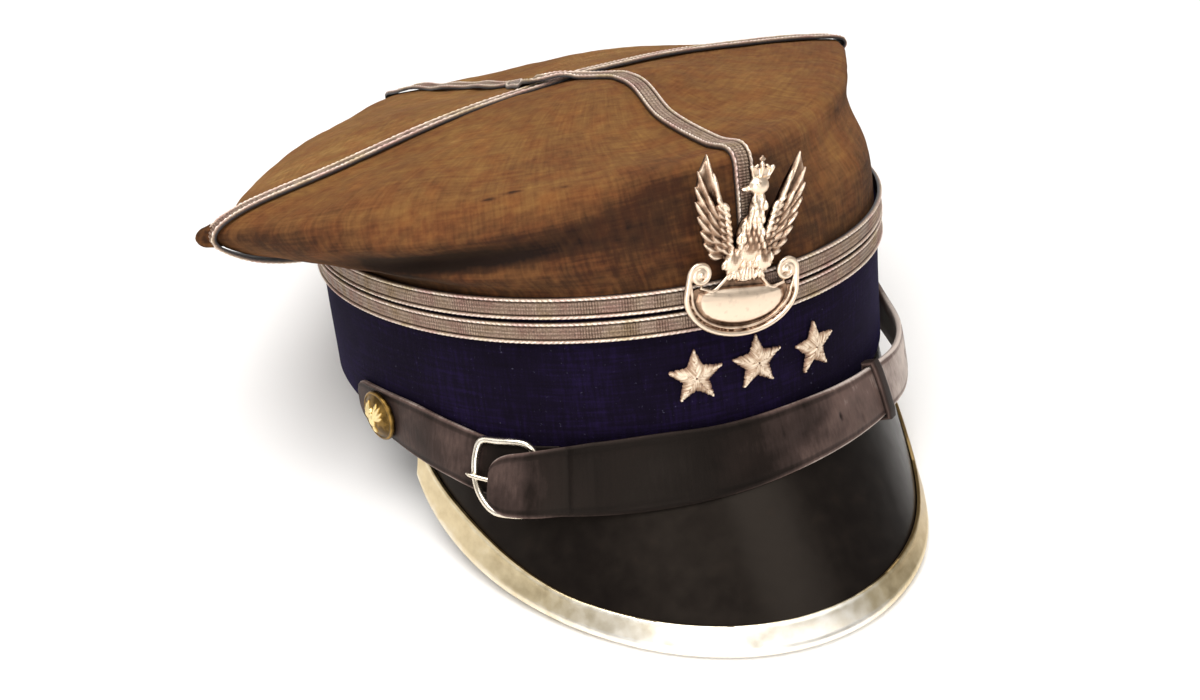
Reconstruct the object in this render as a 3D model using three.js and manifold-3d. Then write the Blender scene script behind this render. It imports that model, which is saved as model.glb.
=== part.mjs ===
// Four-cornered military cap with a soft wool crown, a navy band, two rows of
// silver braid, a crowned eagle badge, three stars, a buckled chin strap and a
// patent leather peak with a brass rim.
//
// Millimetres. The cap is drawn upright: the lower edge of the band lies in
// z = 0, the front faces -Y and the wearer's left is +X. It is then tipped back
// until the rim of the peak meets the table, which is how such a cap rests.
import * as THREE from 'three'
import { mergeVertices } from 'three/addons/utils/BufferGeometryUtils.js'
import Module from 'manifold-3d'

const wasm = await Module()
wasm.setup()

// Driving dimensions
const BAND = { halfWidth: 89, halfDepth: 103, height: 46, wall: 2.6 }
const GAP = 0.3
const STATIONS = 64
const CLOTH_WALL = 2
const BRAID = { width: 6.3, thick: 1.2, lowerEdge: 36, upperEdge: 43.1 }
const CROWN_BRAID = { width: 6, thick: 1.2 }
const PEAK = {
  reach: 33.4, sideY: 36.85, flare: 1, drop: 49, droop: 0.4, pinch: 0.04, leftTuck: 2.5, thick: 2.4, seamAngle: 69,
}
const RIM = { flange: 8.6, underFlange: 6, thick: 0.8 }
const STRAP_THICK = 2
const STAR = { radius: 8.7, notch: 0.4, edge: 0.5, peak: 1.7, height: 21.2, angles: [-12.2, 0, 13.2] }
const BUTTON = { radius: 8, angle: 75, height: 3.4, dome: 2.6 }
const BADGE = { x: -6, z: 44.8, back: 105.5, turn: -10 }
const WIRE = { frame: 1, prong: 0.6 }

const COLOURS = {
  wool: { color: '#7b5835', roughness: 0.95, metalness: 0 },
  navy: { color: '#181a33', roughness: 0.95, metalness: 0 },
  silverLace: { color: '#b3a596', roughness: 0.5, metalness: 0.6 },
  patent: { color: '#0f0c0d', roughness: 0.12, metalness: 0 },
  strapLeather: { color: '#4a3b34', roughness: 0.5, metalness: 0 },
  brass: { color: '#c9b27c', roughness: 0.3, metalness: 1 },
  nickel: { color: '#cfc3ae', roughness: 0.3, metalness: 1 },
  castSilver: { color: '#cbb9a0', roughness: 0.35, metalness: 1 },
  embroidery: { color: '#dccfb8', roughness: 0.6, metalness: 0.3 },
}

const radians = THREE.MathUtils.degToRad
const lerp = THREE.MathUtils.lerp

const cap = new THREE.Group()

function addPart(name, geometry, finish, parent = cap) {
  geometry.computeVertexNormals()
  const mesh = new THREE.Mesh(geometry, new THREE.MeshStandardMaterial(COLOURS[finish]))
  mesh.name = name
  parent.add(mesh)
  return mesh
}

// A closed wall between two grids of points, front[i][j] and back[i][j]. The
// front looks along (step in i) x (step in j). Either direction can close on
// itself, as in a ring or a sleeve.
function wall(front, back, { closeI = false, closeJ = false } = {}) {
  const rows = front.length
  const columns = front[0].length
  const positions = [...front.flat(), ...back.flat()].flatMap((p) => [p.x, p.y, p.z])
  const at = (side, i, j) => side * rows * columns + (i % rows) * columns + (j % columns)
  const triangles = []
  const quad = (a, b, c, d) => triangles.push(a, b, c, a, c, d)
  const lastI = closeI ? rows : rows - 1
  const lastJ = closeJ ? columns : columns - 1
  for (let i = 0; i < lastI; i++) {
    for (let j = 0; j < lastJ; j++) {
      quad(at(0, i, j), at(0, i + 1, j), at(0, i + 1, j + 1), at(0, i, j + 1))
      quad(at(1, i, j + 1), at(1, i + 1, j + 1), at(1, i + 1, j), at(1, i, j))
    }
    if (!closeJ) {
      const top = columns - 1
      quad(at(0, i, 0), at(1, i, 0), at(1, i + 1, 0), at(0, i + 1, 0))
      quad(at(0, i + 1, top), at(1, i + 1, top), at(1, i, top), at(0, i, top))
    }
  }
  if (!closeI) {
    const end = rows - 1
    for (let j = 0; j < lastJ; j++) {
      quad(at(0, 0, j + 1), at(1, 0, j + 1), at(1, 0, j), at(0, 0, j))
      quad(at(0, end, j), at(1, end, j), at(1, end, j + 1), at(0, end, j + 1))
    }
  }
  const geometry = new THREE.BufferGeometry()
  geometry.setAttribute('position', new THREE.Float32BufferAttribute(positions, 3))
  geometry.setIndex(triangles)
  return geometry
}

const grid = (iValues, jValues, point) => iValues.map((i) => jValues.map((j) => point(i, j)))
const steps = (count, from = 0, to = 1) =>
  Array.from({ length: count + 1 }, (_, n) => lerp(from, to, n / count))

// The band's oval. Angles run from the front towards the wearer's left.
function ovalNormal(angle) {
  const a = radians(angle)
  return new THREE.Vector3(Math.sin(a) / BAND.halfWidth, -Math.cos(a) / BAND.halfDepth, 0).normalize()
}

function ovalPoint(angle, out, z) {
  const a = radians(angle)
  return new THREE.Vector3(BAND.halfWidth * Math.sin(a), -BAND.halfDepth * Math.cos(a), z)
    .addScaledVector(ovalNormal(angle), out)
}

// Rings round the band: each profile row is [outer offset, inner offset, height].
function ovalRing(profile) {
  const angles = steps(STATIONS, 0, 360).slice(0, -1)
  const outer = grid(angles, profile, (angle, [out, , z]) => ovalPoint(angle, out, z))
  const inner = grid(angles, profile, (angle, [, back, z]) => ovalPoint(angle, back, z))
  return wall(outer, inner, { closeI: true })
}

function laceRing(bottom) {
  const top = bottom + BRAID.width
  const face = GAP + BRAID.thick
  return ovalRing([[face, GAP, bottom], [face, GAP, top]])
}

addPart('band', ovalRing([[0, -BAND.wall, 0], [0, -BAND.wall, BAND.height]]), 'navy')
addPart('band_braid_lower', laceRing(BRAID.lowerEdge), 'silverLace')
addPart('band_braid_upper', laceRing(BRAID.upperEdge), 'silverLace')

// The crown is four quarters of wool sewn together along four seams. A seam
// climbs from the band to its corner and runs over the top to the middle, in
// nine even rows: base, cuff, waist, under, corner, brow, slope, crest, middle.
const MIDDLE = [3, 0, 85.6]
const SEAMS = {
  front: {
    angle: 0,
    rows: [
      [-0.8, -102.2, 46.3], [-0.8, -102.6, 51], [-0.8, -102.8, 63], [-0.6, -102.2, 75.5], [0, -99, 84.6],
      [1.5, -84, 83.8], [4, -57, 86.2], [6, -28, 88.2], MIDDLE,
    ],
  },
  left: {
    angle: 90,
    rows: [
      [88.2, 0, 46.3], [88.3, 1, 51], [90, 2, 61], [95.5, 4, 71.5], [104.5, 5, 79],
      [90, 3, 82.4], [66, 1, 84.2], [34, 0, 85.4], MIDDLE,
    ],
  },
  back: {
    angle: 180,
    rows: [
      [0, 102.2, 46.3], [-1, 102.9, 50.4], [-6, 112, 52], [-13, 127, 54.2], [-20, 137, 60],
      [-17, 122, 65], [-10, 86, 70.5], [-3, 42, 77.6], MIDDLE,
    ],
  },
  right: {
    angle: 270,
    rows: [
      [-87, 0, 46.3], [-88.4, 0, 50.4], [-101, 0, 50.4], [-116, 0, 54.2], [-126.5, 0, 61.6],
      [-115, 0, 66.8], [-84, 0, 73.6], [-42, 0, 81.2], MIDDLE,
    ],
  },
}

// How each quarter bows out between its two seams, in the same nine rows:
// [share of the band's own roundness, outward, upward].
const PLAIN_BOW = [
  [1, 0, 0], [1, 0, 0], [0.85, 3, 0], [0.6, 3, 0], [0.42, 0, 0], [0.3, 0, 2], [0.2, 0, 2], [0.1, 0, 1], [0, 0, 0],
]
const RAISED_BOW = [
  [1, 0, 0], [1, 0, 0], [0.85, 3, 0], [0.6, 3, 1], [0.42, 2, 3], [0.3, 1, 6], [0.2, 0, 5], [0.1, 0, 3], [0, 0, 0],
]
const QUARTERS = [
  { name: 'front_left', from: 'front', to: 'left', bow: PLAIN_BOW },
  { name: 'back_left', from: 'left', to: 'back', bow: RAISED_BOW },
  { name: 'back_right', from: 'back', to: 'right', bow: PLAIN_BOW },
  { name: 'front_right', from: 'right', to: 'front', bow: PLAIN_BOW },
]

// Dents and folds: centre, half sizes and slant in the quarter's own u and v,
// and how far the cloth moves out and up.
const FOLDS = [
  { quarter: 'front_right', u: 0.35, v: 0.2, du: 0.3, dv: 0.06, slant: 0.15, out: -7, up: 0 },
]

const curve = (rows) => new THREE.CatmullRomCurve3(rows.map((r) => new THREE.Vector3(...r)), false, 'catmullrom')
for (const seam of Object.values(SEAMS)) seam.curve = curve(seam.rows)
for (const quarter of QUARTERS) {
  quarter.bowCurve = curve(quarter.bow)
  quarter.a = SEAMS[quarter.from]
  quarter.b = SEAMS[quarter.to]
}

function quarterPoint(quarter, u, v) {
  const { a, b } = quarter
  const span = 90
  const point = a.curve.getPoint(v).lerp(b.curve.getPoint(v), u)
  const bow = quarter.bowCurve.getPoint(v)
  const arc = ovalPoint(a.angle + span * u, 0, 0)
  const chord = ovalPoint(a.angle, 0, 0).lerp(ovalPoint(b.angle, 0, 0), u)
  const outward = ovalNormal(a.angle + span / 2)
  const hump = Math.sin(Math.PI * u) ** 2
  point.add(arc.sub(chord).multiplyScalar(bow.x))
  point.addScaledVector(outward, hump * bow.y)
  point.z += hump * bow.z
  for (const fold of FOLDS) {
    if (fold.quarter !== quarter.name) continue
    const across = (u - fold.u) / fold.du
    const along = (v - fold.v - fold.slant * (u - fold.u)) / fold.dv
    const depth = Math.exp(-across * across - along * along) * Math.min(1, 3 * hump)
    point.addScaledVector(outward, depth * fold.out)
    point.z += depth * fold.up
  }
  return point
}

const TINY = 0.002

function quarterNormal(quarter, u, v) {
  const u0 = Math.max(0, u - TINY)
  const v0 = Math.max(0, v - TINY)
  const du = quarterPoint(quarter, Math.min(1, u + TINY), v).sub(quarterPoint(quarter, u0, v))
  const dv = quarterPoint(quarter, u, Math.min(1, v + TINY)).sub(quarterPoint(quarter, u, v0))
  return du.cross(dv).normalize()
}

// Outward direction on a seam: the mean of the two quarters that meet there.
function seamNormal(name, v) {
  const before = QUARTERS.find((q) => q.to === name)
  const after = QUARTERS.find((q) => q.from === name)
  return quarterNormal(before, 1, v).add(quarterNormal(after, 0, v)).normalize()
}

const CROWN_END = 0.975
const SEAM_REACH = 0.2
const CORNER_PRESS = 0.62
const CROWN_ROWS = 16
const CROWN_COLUMNS = 14

for (const quarter of QUARTERS) {
  const vs = steps(CROWN_ROWS, 0, CROWN_END)
  const us = steps(CROWN_COLUMNS)
  const outer = grid(us, vs, (u, v) => {
    const point = quarterPoint(quarter, u, v)
    if (u > 0 && u < 1) return point
    const inwards = quarterPoint(quarter, Math.abs(u - 0.05), v).sub(point).normalize()
    return point.addScaledVector(inwards, GAP / 2)
  })
  const inner = us.map((u, i) => vs.map((v, j) => {
    const own = quarterNormal(quarter, u, v)
    const nearFrom = THREE.MathUtils.clamp(1 - u / SEAM_REACH, 0, 1)
    const nearTo = THREE.MathUtils.clamp(1 - (1 - u) / SEAM_REACH, 0, 1)
    const normal = own.clone()
      .lerp(seamNormal(quarter.from, v), nearFrom)
      .lerp(seamNormal(quarter.to, v), nearTo)
      .normalize()
    const pressed = 1 - CORNER_PRESS * Math.exp(-(((v - 0.5) / 0.07) ** 2)) * Math.max(nearFrom, nearTo)
    const depth = (CLOTH_WALL * pressed) / Math.max(0.6, normal.dot(own))
    return outer[i][j].clone().addScaledVector(normal, -depth)
  }))
  addPart(`crown_${quarter.name}`, wall(outer, inner), 'wool')
}

// Lace over two seams: up one, across the middle and down the other. lift is
// the height of the hump where one lace passes over the other.
function seamLace(first, second, { startFirst, startSecond, lift }) {
  const path = []
  const count = 26
  for (const v of steps(count, startFirst, 1)) path.push({ name: first, v })
  for (const v of steps(count, 1, startSecond).slice(1)) path.push({ name: second, v })
  const points = path.map(({ name, v }) => SEAMS[name].curve.getPoint(v))
  const frames = points.map((point, n) => {
    const along = points[Math.min(n + 1, points.length - 1)].clone().sub(points[Math.max(n - 1, 0)]).normalize()
    const { name, v } = path[n]
    const normal = v > 0.97 ? new THREE.Vector3(0, 0, 1) : seamNormal(name, v)
    normal.addScaledVector(along, -normal.dot(along)).normalize()
    const side = new THREE.Vector3().crossVectors(normal, along)
    const away = point.distanceTo(new THREE.Vector3(...MIDDLE)) / (1.6 * CROWN_BRAID.width)
    const hump = lift * Math.exp(-away * away)
    return { point, normal, side, hump }
  })
  const across = [-0.5, 0.5]
  const layer = (height) => frames.map(({ point, normal, side, hump }) => across.map((w) =>
    point.clone()
      .addScaledVector(side, w * CROWN_BRAID.width)
      .addScaledVector(normal, height + hump)))
  return wall(layer(GAP + CROWN_BRAID.thick), layer(GAP))
}

addPart('crown_braid_left_right', seamLace('right', 'left', { startFirst: 0.19, startSecond: 0.15, lift: 0 }), 'silverLace')
addPart('crown_braid_front_back', seamLace('front', 'back', { startFirst: 0.15, startSecond: 0.19, lift: 2.2 }), 'silverLace')

// Peak: a sheet ruled from the band's lower edge to a rim curve. p runs from
// -90 to 90 across the front.
function peakSeam(p) {
  return ovalPoint(p * PEAK.seamAngle / 90, -1.6, -GAP)
}

function peakEdge(p) {
  const a = radians(p)
  const c = Math.max(0, Math.cos(a))
  const side = PEAK.flare + BAND.halfWidth * Math.sqrt(1 - (PEAK.sideY / BAND.halfDepth) ** 2)
  const y = -(PEAK.sideY + (BAND.halfDepth + PEAK.reach - PEAK.sideY) * c)
  const tuck = p > 0 ? PEAK.leftTuck * Math.sin(2 * a) ** 2 : 0
  const x = side * Math.sin(a) * (1 - PEAK.pinch * c * c) - tuck
  return new THREE.Vector3(x, y, -PEAK.drop * c ** PEAK.droop)
}

function peakPoint(p, s) {
  return peakSeam(p).lerp(peakEdge(p), s)
}

function peakNormal(p, s) {
  const du = peakPoint(p + 0.5, s).sub(peakPoint(p - 0.5, s))
  const ds = peakPoint(p, s - 0.02).sub(peakPoint(p, s + 0.02))
  return du.cross(ds).normalize()
}

const PEAK_END = 88
const peakAngles = steps(34, -PEAK_END, PEAK_END)
const peakRows = [1, 0.75, 0.5, 0.25, 0]
const peakTop = grid(peakAngles, peakRows, peakPoint)
const peakUnder = grid(peakAngles, peakRows, (p, s) =>
  peakPoint(p, s).addScaledVector(peakNormal(p, s), -PEAK.thick))
addPart('peak', wall(peakTop, peakUnder), 'patent')

// Rim: a brass channel folded round the edge of the peak.
function rimSection(p, clearance) {
  const edge = peakEdge(p)
  const inwards = peakSeam(p).sub(edge)
  const length = inwards.length()
  inwards.normalize()
  const normal = peakNormal(p, 1)
  const centre = edge.clone().addScaledVector(normal, -PEAK.thick / 2)
  const radius = PEAK.thick / 2 + clearance
  const at = (along, height) => centre.clone().addScaledVector(inwards, along).addScaledVector(normal, height)
  const flange = Math.min(RIM.flange, length * 0.75)
  const underFlange = Math.min(RIM.underFlange, length * 0.6)
  const bend = steps(2, 50, -50).map((angle) =>
    at(-radius * Math.cos(radians(angle)), radius * Math.sin(radians(angle))))
  return [at(-1 + underFlange, -radius), at(0, -radius), ...bend.reverse(), at(0, radius), at(-1 + flange, radius)]
}
const rimOuter = peakAngles.map((p) => rimSection(p, GAP + RIM.thick))
const rimInner = peakAngles.map((p) => rimSection(p, GAP))
addPart('peak_rim', wall(rimOuter, rimInner), 'brass')

// Straps. Each row gives the inner face at one angle round the band: how far
// the upper and lower edges stand off the band, and their heights.
const SHORT_STRAP = [
  { angle: -84, upperOut: 0.5, upperZ: 10.5, lowerOut: 0.5, lowerZ: -3.5 },
  { angle: -75, upperOut: 0.5, upperZ: 11.2, lowerOut: 0.5, lowerZ: -4.5 },
  { angle: -66, upperOut: 0.8, upperZ: 11, lowerOut: 3, lowerZ: -5.5 },
  { angle: -57, upperOut: 1, upperZ: 8.2, lowerOut: 5.5, lowerZ: -7.4 },
  { angle: -49, upperOut: 1, upperZ: 5.2, lowerOut: 7, lowerZ: -10 },
  { angle: -43, upperOut: 1, upperZ: 4.2, lowerOut: 7.3, lowerZ: -10.6 },
]
const LONG_STRAP = [
  { angle: -49.3, upperOut: 8, upperZ: 3.4, lowerOut: 14, lowerZ: -12.4 },
  { angle: -44, upperOut: 6, upperZ: 3.8, lowerOut: 12.8, lowerZ: -13 },
  { angle: -40, upperOut: 5, upperZ: 4.8, lowerOut: 12.4, lowerZ: -12.8 },
  { angle: -36, upperOut: 3.6, upperZ: 5.6, lowerOut: 10.4, lowerZ: -12.8 },
  { angle: -31, upperOut: 2.6, upperZ: 6.6, lowerOut: 8.6, lowerZ: -13.4 },
  { angle: -20, upperOut: 1.6, upperZ: 7.5, lowerOut: 7.4, lowerZ: -13.2 },
  { angle: -8, upperOut: 1.4, upperZ: 7, lowerOut: 7.2, lowerZ: -12.4 },
  { angle: 7, upperOut: 1.4, upperZ: 7, lowerOut: 6.8, lowerZ: -11 },
  { angle: 20, upperOut: 2.2, upperZ: 6, lowerOut: 7, lowerZ: -10.4 },
  { angle: 31, upperOut: 3.2, upperZ: 4.4, lowerOut: 8, lowerZ: -11 },
  { angle: 42, upperOut: 5.5, upperZ: 2, lowerOut: 9, lowerZ: -14 },
  { angle: 52, upperOut: 5.5, upperZ: 2.2, lowerOut: 8, lowerZ: -13.5 },
  { angle: 61, upperOut: 2.4, upperZ: 5.8, lowerOut: 4, lowerZ: -10 },
  { angle: 69, upperOut: 0.6, upperZ: 10.4, lowerOut: 0.8, lowerZ: -5.4 },
  { angle: 76, upperOut: 0.5, upperZ: 11.2, lowerOut: 0.5, lowerZ: -4.5 },
  { angle: 84, upperOut: 0.5, upperZ: 10.5, lowerOut: 0.5, lowerZ: -3.5 },
]

// A strap's upper and lower edges as two curves, read by angle.
function strapCurves(rows) {
  const edge = (out, z) => curve(rows.map((row) => [row[out], row[z], row.angle]))
  return {
    from: rows[0].angle,
    to: rows.at(-1).angle,
    angles: rows.map((row) => row.angle),
    upper: edge('upperOut', 'upperZ'),
    lower: edge('lowerOut', 'lowerZ'),
  }
}

function strapShare(strap, angle) {
  const last = strap.angles.length - 1
  let n = 0
  while (n < last - 1 && angle > strap.angles[n + 1]) n++
  const share = (angle - strap.angles[n]) / (strap.angles[n + 1] - strap.angles[n])
  return THREE.MathUtils.clamp((n + share) / last, 0, 1)
}

// w runs across the strap from its upper edge (0) to its lower edge (1), and
// depth out from its inner face.
function strapPoint(strap, angle, w, depth) {
  const share = strapShare(strap, angle)
  const upper = strap.upper.getPoint(share)
  const lower = strap.lower.getPoint(share)
  const across = new THREE.Vector2(lower.x - upper.x, lower.y - upper.y)
  const out = upper.x + across.x * w
  const z = upper.y + across.y * w
  across.normalize()
  return ovalPoint(angle, out - across.y * depth, z + across.x * depth)
}

const shortStrap = strapCurves(SHORT_STRAP)
const longStrap = strapCurves(LONG_STRAP)

// Rounded ends narrow the strap over the last few degrees.
function endShare(strap, angle, roundFrom, roundTo, length) {
  const a = roundFrom ? Math.min(1, (angle - strap.from) / length) : 1
  const b = roundTo ? Math.min(1, (strap.to - angle) / length) : 1
  const round = (x) => Math.sqrt(1 - (1 - x) ** 2)
  return lerp(0.35, 1, round(Math.min(a, b)))
}

function strapSolid(strap, angles, { roundFrom, roundTo, length }) {
  const layer = (depth) => angles.map((angle) => {
    const share = endShare(strap, angle, roundFrom, roundTo, length)
    return [0.5, 0, -0.5].map((w) => strapPoint(strap, angle, 0.5 + w * share, depth))
  })
  return wall(layer(STRAP_THICK), layer(0))
}

const ROUND_END = [0, 0.5, 1.8, 4]
const shortAngles = [...ROUND_END.map((a) => shortStrap.from + a), ...steps(10, shortStrap.from + 7, shortStrap.to)]
const longAngles = [
  ...ROUND_END.map((a) => longStrap.from + a),
  ...steps(34, longStrap.from + 6, longStrap.to - 6),
  ...ROUND_END.map((a) => longStrap.to - a).reverse(),
]
addPart('strap_short', strapSolid(shortStrap, shortAngles, { roundFrom: true, roundTo: false, length: 5 }), 'strapLeather')
addPart('strap_long', strapSolid(longStrap, longAngles, { roundFrom: true, roundTo: true, length: 5 }), 'strapLeather')

// A round wire along a path, closed on itself or with flat ends.
function wire(path, radiusAt, sides, closed) {
  const count = path.length
  const tangents = path.map((_, n) => {
    const next = closed ? path[(n + 1) % count] : path[Math.min(n + 1, count - 1)]
    const last = closed ? path[(n + count - 1) % count] : path[Math.max(n - 1, 0)]
    return next.clone().sub(last).normalize()
  })
  let normal = new THREE.Vector3(0.3, -1, 0.2)
  const rings = path.map((point, n) => {
    normal = normal.clone().addScaledVector(tangents[n], -normal.dot(tangents[n])).normalize()
    const side = new THREE.Vector3().crossVectors(tangents[n], normal)
    return Array.from({ length: sides }, (_, k) => {
      const a = (2 * Math.PI * k) / sides
      return point.clone()
        .addScaledVector(normal, radiusAt(n) * Math.cos(a))
        .addScaledVector(side, radiusAt(n) * Math.sin(a))
    })
  })
  const positions = rings.flat().flatMap((p) => [p.x, p.y, p.z])
  const triangles = []
  const at = (n, k) => (n % count) * sides + (k % sides)
  for (let n = 0; n < (closed ? count : count - 1); n++) {
    for (let k = 0; k < sides; k++) {
      triangles.push(at(n, k), at(n, k + 1), at(n + 1, k + 1), at(n, k), at(n + 1, k + 1), at(n + 1, k))
    }
  }
  if (!closed) {
    for (let k = 1; k < sides - 1; k++) {
      triangles.push(at(0, 0), at(0, k + 1), at(0, k))
      triangles.push(at(count - 1, 0), at(count - 1, k), at(count - 1, k + 1))
    }
  }
  const geometry = new THREE.BufferGeometry()
  geometry.setAttribute('position', new THREE.Float32BufferAttribute(positions, 3))
  geometry.setIndex(triangles)
  return geometry
}

// Buckle frame: corners of a D in the short strap's own angle and width. Its
// left bar lies on the short strap and its hinge bar is under the long one.
const BAR_DEPTH = STRAP_THICK + GAP + WIRE.frame
const HINGE_DEPTH = 1.6
const FRAME_CORNERS = [
  { angle: -40.8, w: -0.08, depth: HINGE_DEPTH }, { angle: -47.6, w: -0.1, depth: BAR_DEPTH },
  { angle: -50.2, w: 0, depth: BAR_DEPTH }, { angle: -51.4, w: 0.56, depth: BAR_DEPTH },
  { angle: -49.8, w: 1.02, depth: BAR_DEPTH }, { angle: -47, w: 1.24, depth: BAR_DEPTH },
  { angle: -40.8, w: 1.24, depth: HINGE_DEPTH }, { angle: -40, w: 1.14, depth: HINGE_DEPTH },
  { angle: -40, w: 0.02, depth: HINGE_DEPTH },
]
const framePath = new THREE.CatmullRomCurve3(
  FRAME_CORNERS.map(({ angle, w, depth }) => strapPoint(shortStrap, angle, w, depth)), true, 'centripetal')
addPart('buckle_frame', wire(framePath.getPoints(36).slice(0, -1), () => WIRE.frame, 6, true), 'nickel')

const PRONG_W = 0.62
const PRONG_ROWS = [
  { angle: -41.8, depth: 2.7 }, { angle: -44, depth: 3.1 }, { angle: -47, depth: 3.7 },
  { angle: -49.5, depth: 4.6 }, { angle: -51.8, depth: 5.3 }, { angle: -53.2, depth: 5 },
]
const prongPath = curve(PRONG_ROWS.map(({ angle, depth }) => strapPoint(shortStrap, angle, PRONG_W, depth).toArray()))
addPart('buckle_prong', wire(prongPath.getPoints(12), () => WIRE.prong, 6, false), 'nickel')

// Keeper: a leather loop round the long strap.
const KEEPER = { from: 27, to: 32.5, thick: 1.4 }
function keeperLoop(angle, grow) {
  const width = strapPoint(longStrap, angle, 1, 0).distanceTo(strapPoint(longStrap, angle, 0, 0))
  const edge = (GAP + grow) / width
  const low = -GAP - grow
  const high = STRAP_THICK + GAP + grow
  const loop = [[-edge, low], [0.5, low], [1 + edge, low], [1 + edge, high], [0.5, high], [-edge, high]]
  return loop.map(([w, depth]) => strapPoint(longStrap, angle, w, depth))
}
const keeperAngles = steps(3, KEEPER.from, KEEPER.to)
addPart('strap_keeper', wall(
  keeperAngles.map((angle) => keeperLoop(angle, KEEPER.thick)),
  keeperAngles.map((angle) => keeperLoop(angle, 0)), { closeJ: true }), 'strapLeather')

// Side buttons: domed discs on the strap's ends.
const BUTTON_PROFILE = [
  [0, 0], [BUTTON.radius - 1, 0], [BUTTON.radius, 0.8], [BUTTON.radius, 1.6], [BUTTON.radius - 1.2, 2],
  [BUTTON.radius * 0.6, BUTTON.dome + 1], [BUTTON.radius * 0.3, BUTTON.dome + 1.5], [0, BUTTON.dome + 1.7],
]
for (const [name, side] of [['button_right', -1], ['button_left', 1]]) {
  const disc = new THREE.LatheGeometry(BUTTON_PROFILE.map(([r, h]) => new THREE.Vector2(r, h)), 14)
  const mesh = addPart(name, disc, 'brass')
  const angle = side * BUTTON.angle
  mesh.position.copy(ovalPoint(angle, 0.5 + STRAP_THICK + GAP, BUTTON.height))
  mesh.quaternion.setFromUnitVectors(new THREE.Vector3(0, 1, 0), ovalNormal(angle))
}

// Stars: five faceted points with a flat back.
function starGeometry() {
  const outline = Array.from({ length: 10 }, (_, n) => {
    const a = Math.PI / 2 + (n * Math.PI) / 5
    const r = STAR.radius * (n % 2 ? STAR.notch : 1)
    return new THREE.Vector2(r * Math.cos(a), r * Math.sin(a))
  })
  const rings = [
    [new THREE.Vector3(0, 0, 0)],
    outline.map((p) => new THREE.Vector3(p.x, p.y, 0)),
    outline.map((p) => new THREE.Vector3(p.x, p.y, STAR.edge)),
    [new THREE.Vector3(0, 0, STAR.peak)],
  ]
  const positions = rings.flat().flatMap((p) => [p.x, p.y, p.z])
  const triangles = []
  for (let n = 0; n < 10; n++) {
    const m = (n + 1) % 10
    triangles.push(0, 1 + m, 1 + n)
    triangles.push(1 + n, 1 + m, 11 + m, 1 + n, 11 + m, 11 + n)
    triangles.push(21, 11 + n, 11 + m)
  }
  const geometry = new THREE.BufferGeometry()
  geometry.setAttribute('position', new THREE.Float32BufferAttribute(positions, 3))
  geometry.setIndex(triangles)
  return geometry
}
STAR.angles.forEach((angle, n) => {
  const seat = new THREE.Group()
  seat.position.copy(ovalPoint(angle, GAP, STAR.height))
  seat.rotation.set(Math.PI / 2, Math.atan2(ovalNormal(angle).x, -ovalNormal(angle).y), 0)
  cap.add(seat)
  addPart(`star_${n + 1}`, starGeometry(), 'embroidery', seat)
})

// Badge: one casting. A crowned eagle with raised wings stands on a crescent
// shield whose border curls into a scroll at each end. Drawn upright with x to
// the viewer's right, y up and z towards the viewer, its flat back at z = 0.
const PLATE_THICK = 1.1
const CROWN_X = 2.2
const SHIELD = { centreY: 1.5, halfWidth: 17.6, halfHeight: 12.1, border: 1.2, borderHeight: 1.5 }
const SCROLL = { x: 13.6, y: 7, outer: 3.3, inner: 1.3, turns: 1.3 }
const WING_PLATE = [
  [2, 10.5], [2.5, 18], [5.6, 19], [6.4, 22.5], [8.3, 26.3], [9.8, 30.2], [12, 34], [14.6, 39.6],
  [16.9, 34], [17, 29.5], [16.1, 25], [14.9, 20.8], [13.8, 16.5], [12.4, 13.4], [9.5, 11], [5.5, 9.8],
]
const FEATHERS = [
  { root: [8.6, 25.5], tip: [14.5, 39.2] }, { root: [9, 22.5], tip: [16.6, 34.4] },
  { root: [8.6, 19.5], tip: [16.6, 29.8] }, { root: [8, 16.8], tip: [15.8, 25.2] },
  { root: [7.2, 14.5], tip: [14.6, 21] }, { root: [6.6, 12.8], tip: [13, 16.4] },
]
const BODY = [
  { at: [0, 8, 1.5], size: [4.6, 4.2, 1.3] }, { at: [-3.4, 10, 1.7], size: [1.9, 3.4, 1.4] },
  { at: [3.8, 10, 1.7], size: [1.9, 3.4, 1.4] }, { at: [0.2, 16.4, 2.3], size: [4.4, 6.4, 2.2] },
  { at: [1.2, 24, 2], size: [2.3, 6.2, 1.8] }, { at: [1.6, 30.6, 2.1], size: [2.9, 2.3, 1.8] },
]

function closedSolid(geometry) {
  geometry.deleteAttribute('normal')
  geometry.deleteAttribute('uv')
  const merged = mergeVertices(geometry, 1e-4)
  const mesh = new wasm.Mesh({
    numProp: 3,
    vertProperties: new Float32Array(merged.attributes.position.array),
    triVerts: new Uint32Array(merged.index.array),
  })
  return new wasm.Manifold(mesh)
}

function blob(at, size) {
  return new THREE.SphereGeometry(1, 6, 4).scale(...size).translate(...at)
}

function feather({ root, tip }, side) {
  const dx = side * (tip[0] - root[0])
  const dy = tip[1] - root[1]
  return new THREE.SphereGeometry(1, 4, 3)
    .scale(1.4, Math.hypot(dx, dy) / 2, 1.2)
    .rotateZ(Math.atan2(-dx, dy))
    .translate((side * (root[0] + tip[0])) / 2, (root[1] + tip[1]) / 2, PLATE_THICK)
}

function plate(points, thick) {
  const shape = new THREE.Shape(points.map(([x, y]) => new THREE.Vector2(x, y)))
  return new THREE.ExtrudeGeometry(shape, { depth: thick, bevelEnabled: false })
}

// Lower edge of the shield as half an ellipse, then its upper edge, which dips
// each side of a small cusp.
function shieldOutline() {
  const lower = steps(12, 180, 360).map((angle) => [
    SHIELD.halfWidth * Math.cos(radians(angle)),
    SHIELD.centreY + SHIELD.halfHeight * Math.sin(radians(angle)),
  ])
  return [...lower, [13, 2.8], [9, 2.6], [5, 6], [0, 4.8], [-5, 6], [-9, 2.6], [-13, 2.8]]
}

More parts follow.
